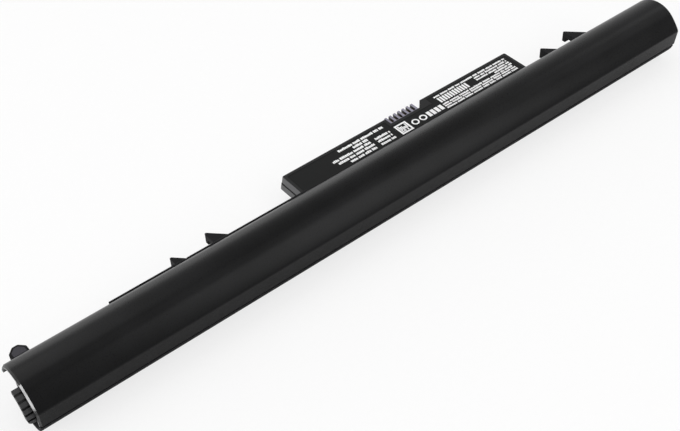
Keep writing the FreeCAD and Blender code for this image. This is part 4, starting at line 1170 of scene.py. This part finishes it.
# %% White paper on the floor
FLOOR_HALF, FLOOR_DROP = 3.0, 0.02
floor_corners = box_outline(-FLOOR_HALF, FLOOR_HALF, -FLOOR_HALF, FLOOR_HALF)
floor_mesh = bpy.data.meshes.new("studio_floor")
floor_mesh.from_pydata([(x, y, -FLOOR_DROP * MM) for x, y in floor_corners], [], [(0, 1, 2, 3)])
studio_floor = bpy.data.objects.new("studio_floor", floor_mesh)
scene.collection.objects.link(studio_floor)
studio_floor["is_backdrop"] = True

GLOW_SHARE = 0.75
SHADOW_START, SHADOW_END = 14.0, 45.0
PAPER_WHITES = (0.90, 0.90, 0.90), (0.92, 0.92, 0.92)
white_paper, tree, shader = new_finish("white_paper", roughness=0.9)
coloured(tree, shader, grain(tree, size_mm=2.0), *PAPER_WHITES)
across = object_axes(tree)["Y"]
past_shadow = between(tree, across, 0.0, 1.0, -SHADOW_START * MM, -SHADOW_END * MM)
behind_bar = calculated(tree, "GREATER_THAN", across, 0.0)
clear_of_bar = calculated(tree, "MAXIMUM", past_shadow, behind_bar)
rays = add_node(tree, "LightPath").outputs
mirrored = calculated(tree, "MAXIMUM", rays["Is Glossy Ray"], rays["Is Transmission Ray"])
mirrored = calculated(tree, "MULTIPLY", mirrored, clear_of_bar)
seen = calculated(tree, "MAXIMUM", rays["Is Camera Ray"], mirrored)
share = calculated(tree, "MULTIPLY", seen, GLOW_SHARE)
glow = add_node(tree, "Emission", {"Strength": 1.0}).outputs[0]
blend = add_node(tree, "MixShader", {0: share, 1: shader.outputs[0], 2: glow}).outputs[0]
tree.links.new(blend, tree.nodes["Material Output"].inputs["Surface"])
floor_mesh.materials.append(white_paper)
print(f"a floor of {2 * FLOOR_HALF} m, with a glow of {GLOW_SHARE}")

# %% [markdown]
# Black plastic shows little but reflections, so the room matters more than the lamps. Ours is white
# behind the bar, and darker overhead and behind the camera: the dome's top mirrors the dark ceiling, and
# towards the back edge, where the view grazes the surface, it mirrors the bright far wall.

# %% The room
# A direction has the length one, so its parts along Z and Y run from -1 to 1.
CEILING_LIGHT, WALLS_END, CEILING_FULL = 0.32, 0.35, 0.95
CAMERA_SIDE_LIGHT, CAMERA_SIDE, FAR_SIDE = 0.3, -0.5, 0.2
world = bpy.data.worlds.new("studio_room")
world.use_nodes = True
scene.world = world
tree = world.node_tree
background = tree.nodes["Background"]
direction = add_node(tree, "TexCoord").outputs["Generated"]
axes = add_node(tree, "SeparateXYZ", {"Vector": direction}).outputs
overhead = between(tree, axes["Z"], 1.0, CEILING_LIGHT, WALLS_END, CEILING_FULL)
towards_back = between(tree, axes["Y"], CAMERA_SIDE_LIGHT, 1.0, CAMERA_SIDE, FAR_SIDE)
tree.links.new(calculated(tree, "MULTIPLY", overhead, towards_back), background.inputs["Strength"])
background.inputs["Color"].default_value = (1.0, 1.0, 1.0, 1.0)
print("a room that is white behind the bar and darkens overhead")

# %% [markdown]
# Seven softboxes do the rest. Each is a rectangular area lamp that looks at the middle of the bar, and
# each has one job, because on black plastic a lamp is seen as a soft reflection. The back one brightens
# the back edge. The left one lights what faces the near end, and the narrow rim lamp below it is mirrored
# as a white line in the near rim's chamfer. The front and shoulder lamps lay the faint band along the
# shoulder. The top and far ones, both overhead, lighten the dome towards its two ends.

# %% Lamps
def softbox(name, place, size, power, roll=0.0):
    """An area lamp: its place and size are in metres and its power is in watts."""
    lamp_data = bpy.data.lights.new(name, "AREA")
    lamp_data.shape = "RECTANGLE"
    lamp_data.size, lamp_data.size_y = size
    lamp_data.energy = power
    lamp = bpy.data.objects.new(name, lamp_data)
    lamp.location = place
    turn = (-Vector(place)).to_track_quat("-Z", "Y") @ Quaternion((0, 0, 1), math.radians(roll))
    lamp.rotation_euler = turn.to_euler()
    scene.collection.objects.link(lamp)
    print(f"{name}: {power} W at {place}")


softbox("back_softbox", place=(0.1, 1.1, 0.25), size=(1.4, 0.5), power=2.0)
softbox("left_softbox", place=(-0.9, 0.0, 0.6), size=(0.7, 0.9), power=0.5)
softbox("rim_softbox", place=(-1.0, -0.19, 0.3), size=(0.75, 0.11), power=4.1, roll=-35)
softbox("front_softbox", place=(0.42, -0.7, 0.6), size=(0.5, 0.6), power=2.7)
softbox("top_softbox", place=(-0.07, 0.4, 0.9), size=(0.4, 0.95), power=2.5)
softbox("far_softbox", place=(1.25, 0.2, 0.9), size=(0.35, 0.8), power=1.2)
softbox("shoulder_softbox", place=(0.45, -0.3, 0.9), size=(1.2, 0.35), power=1.1, roll=-53)

# %% [markdown]
# ## Closing
#
# Dressing a model must not change its size. The box of what is shown now is set beside the box of
# the CAD model, and how far it grows at the top is printed.

# %% Compare the boxes and finish
visual_box = [list(corner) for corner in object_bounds()]
growth = [visual_box[1][axis] - cad_box[1][axis] for axis in range(3)]
print("visual box", visual_box, "grows at the top by", growth)
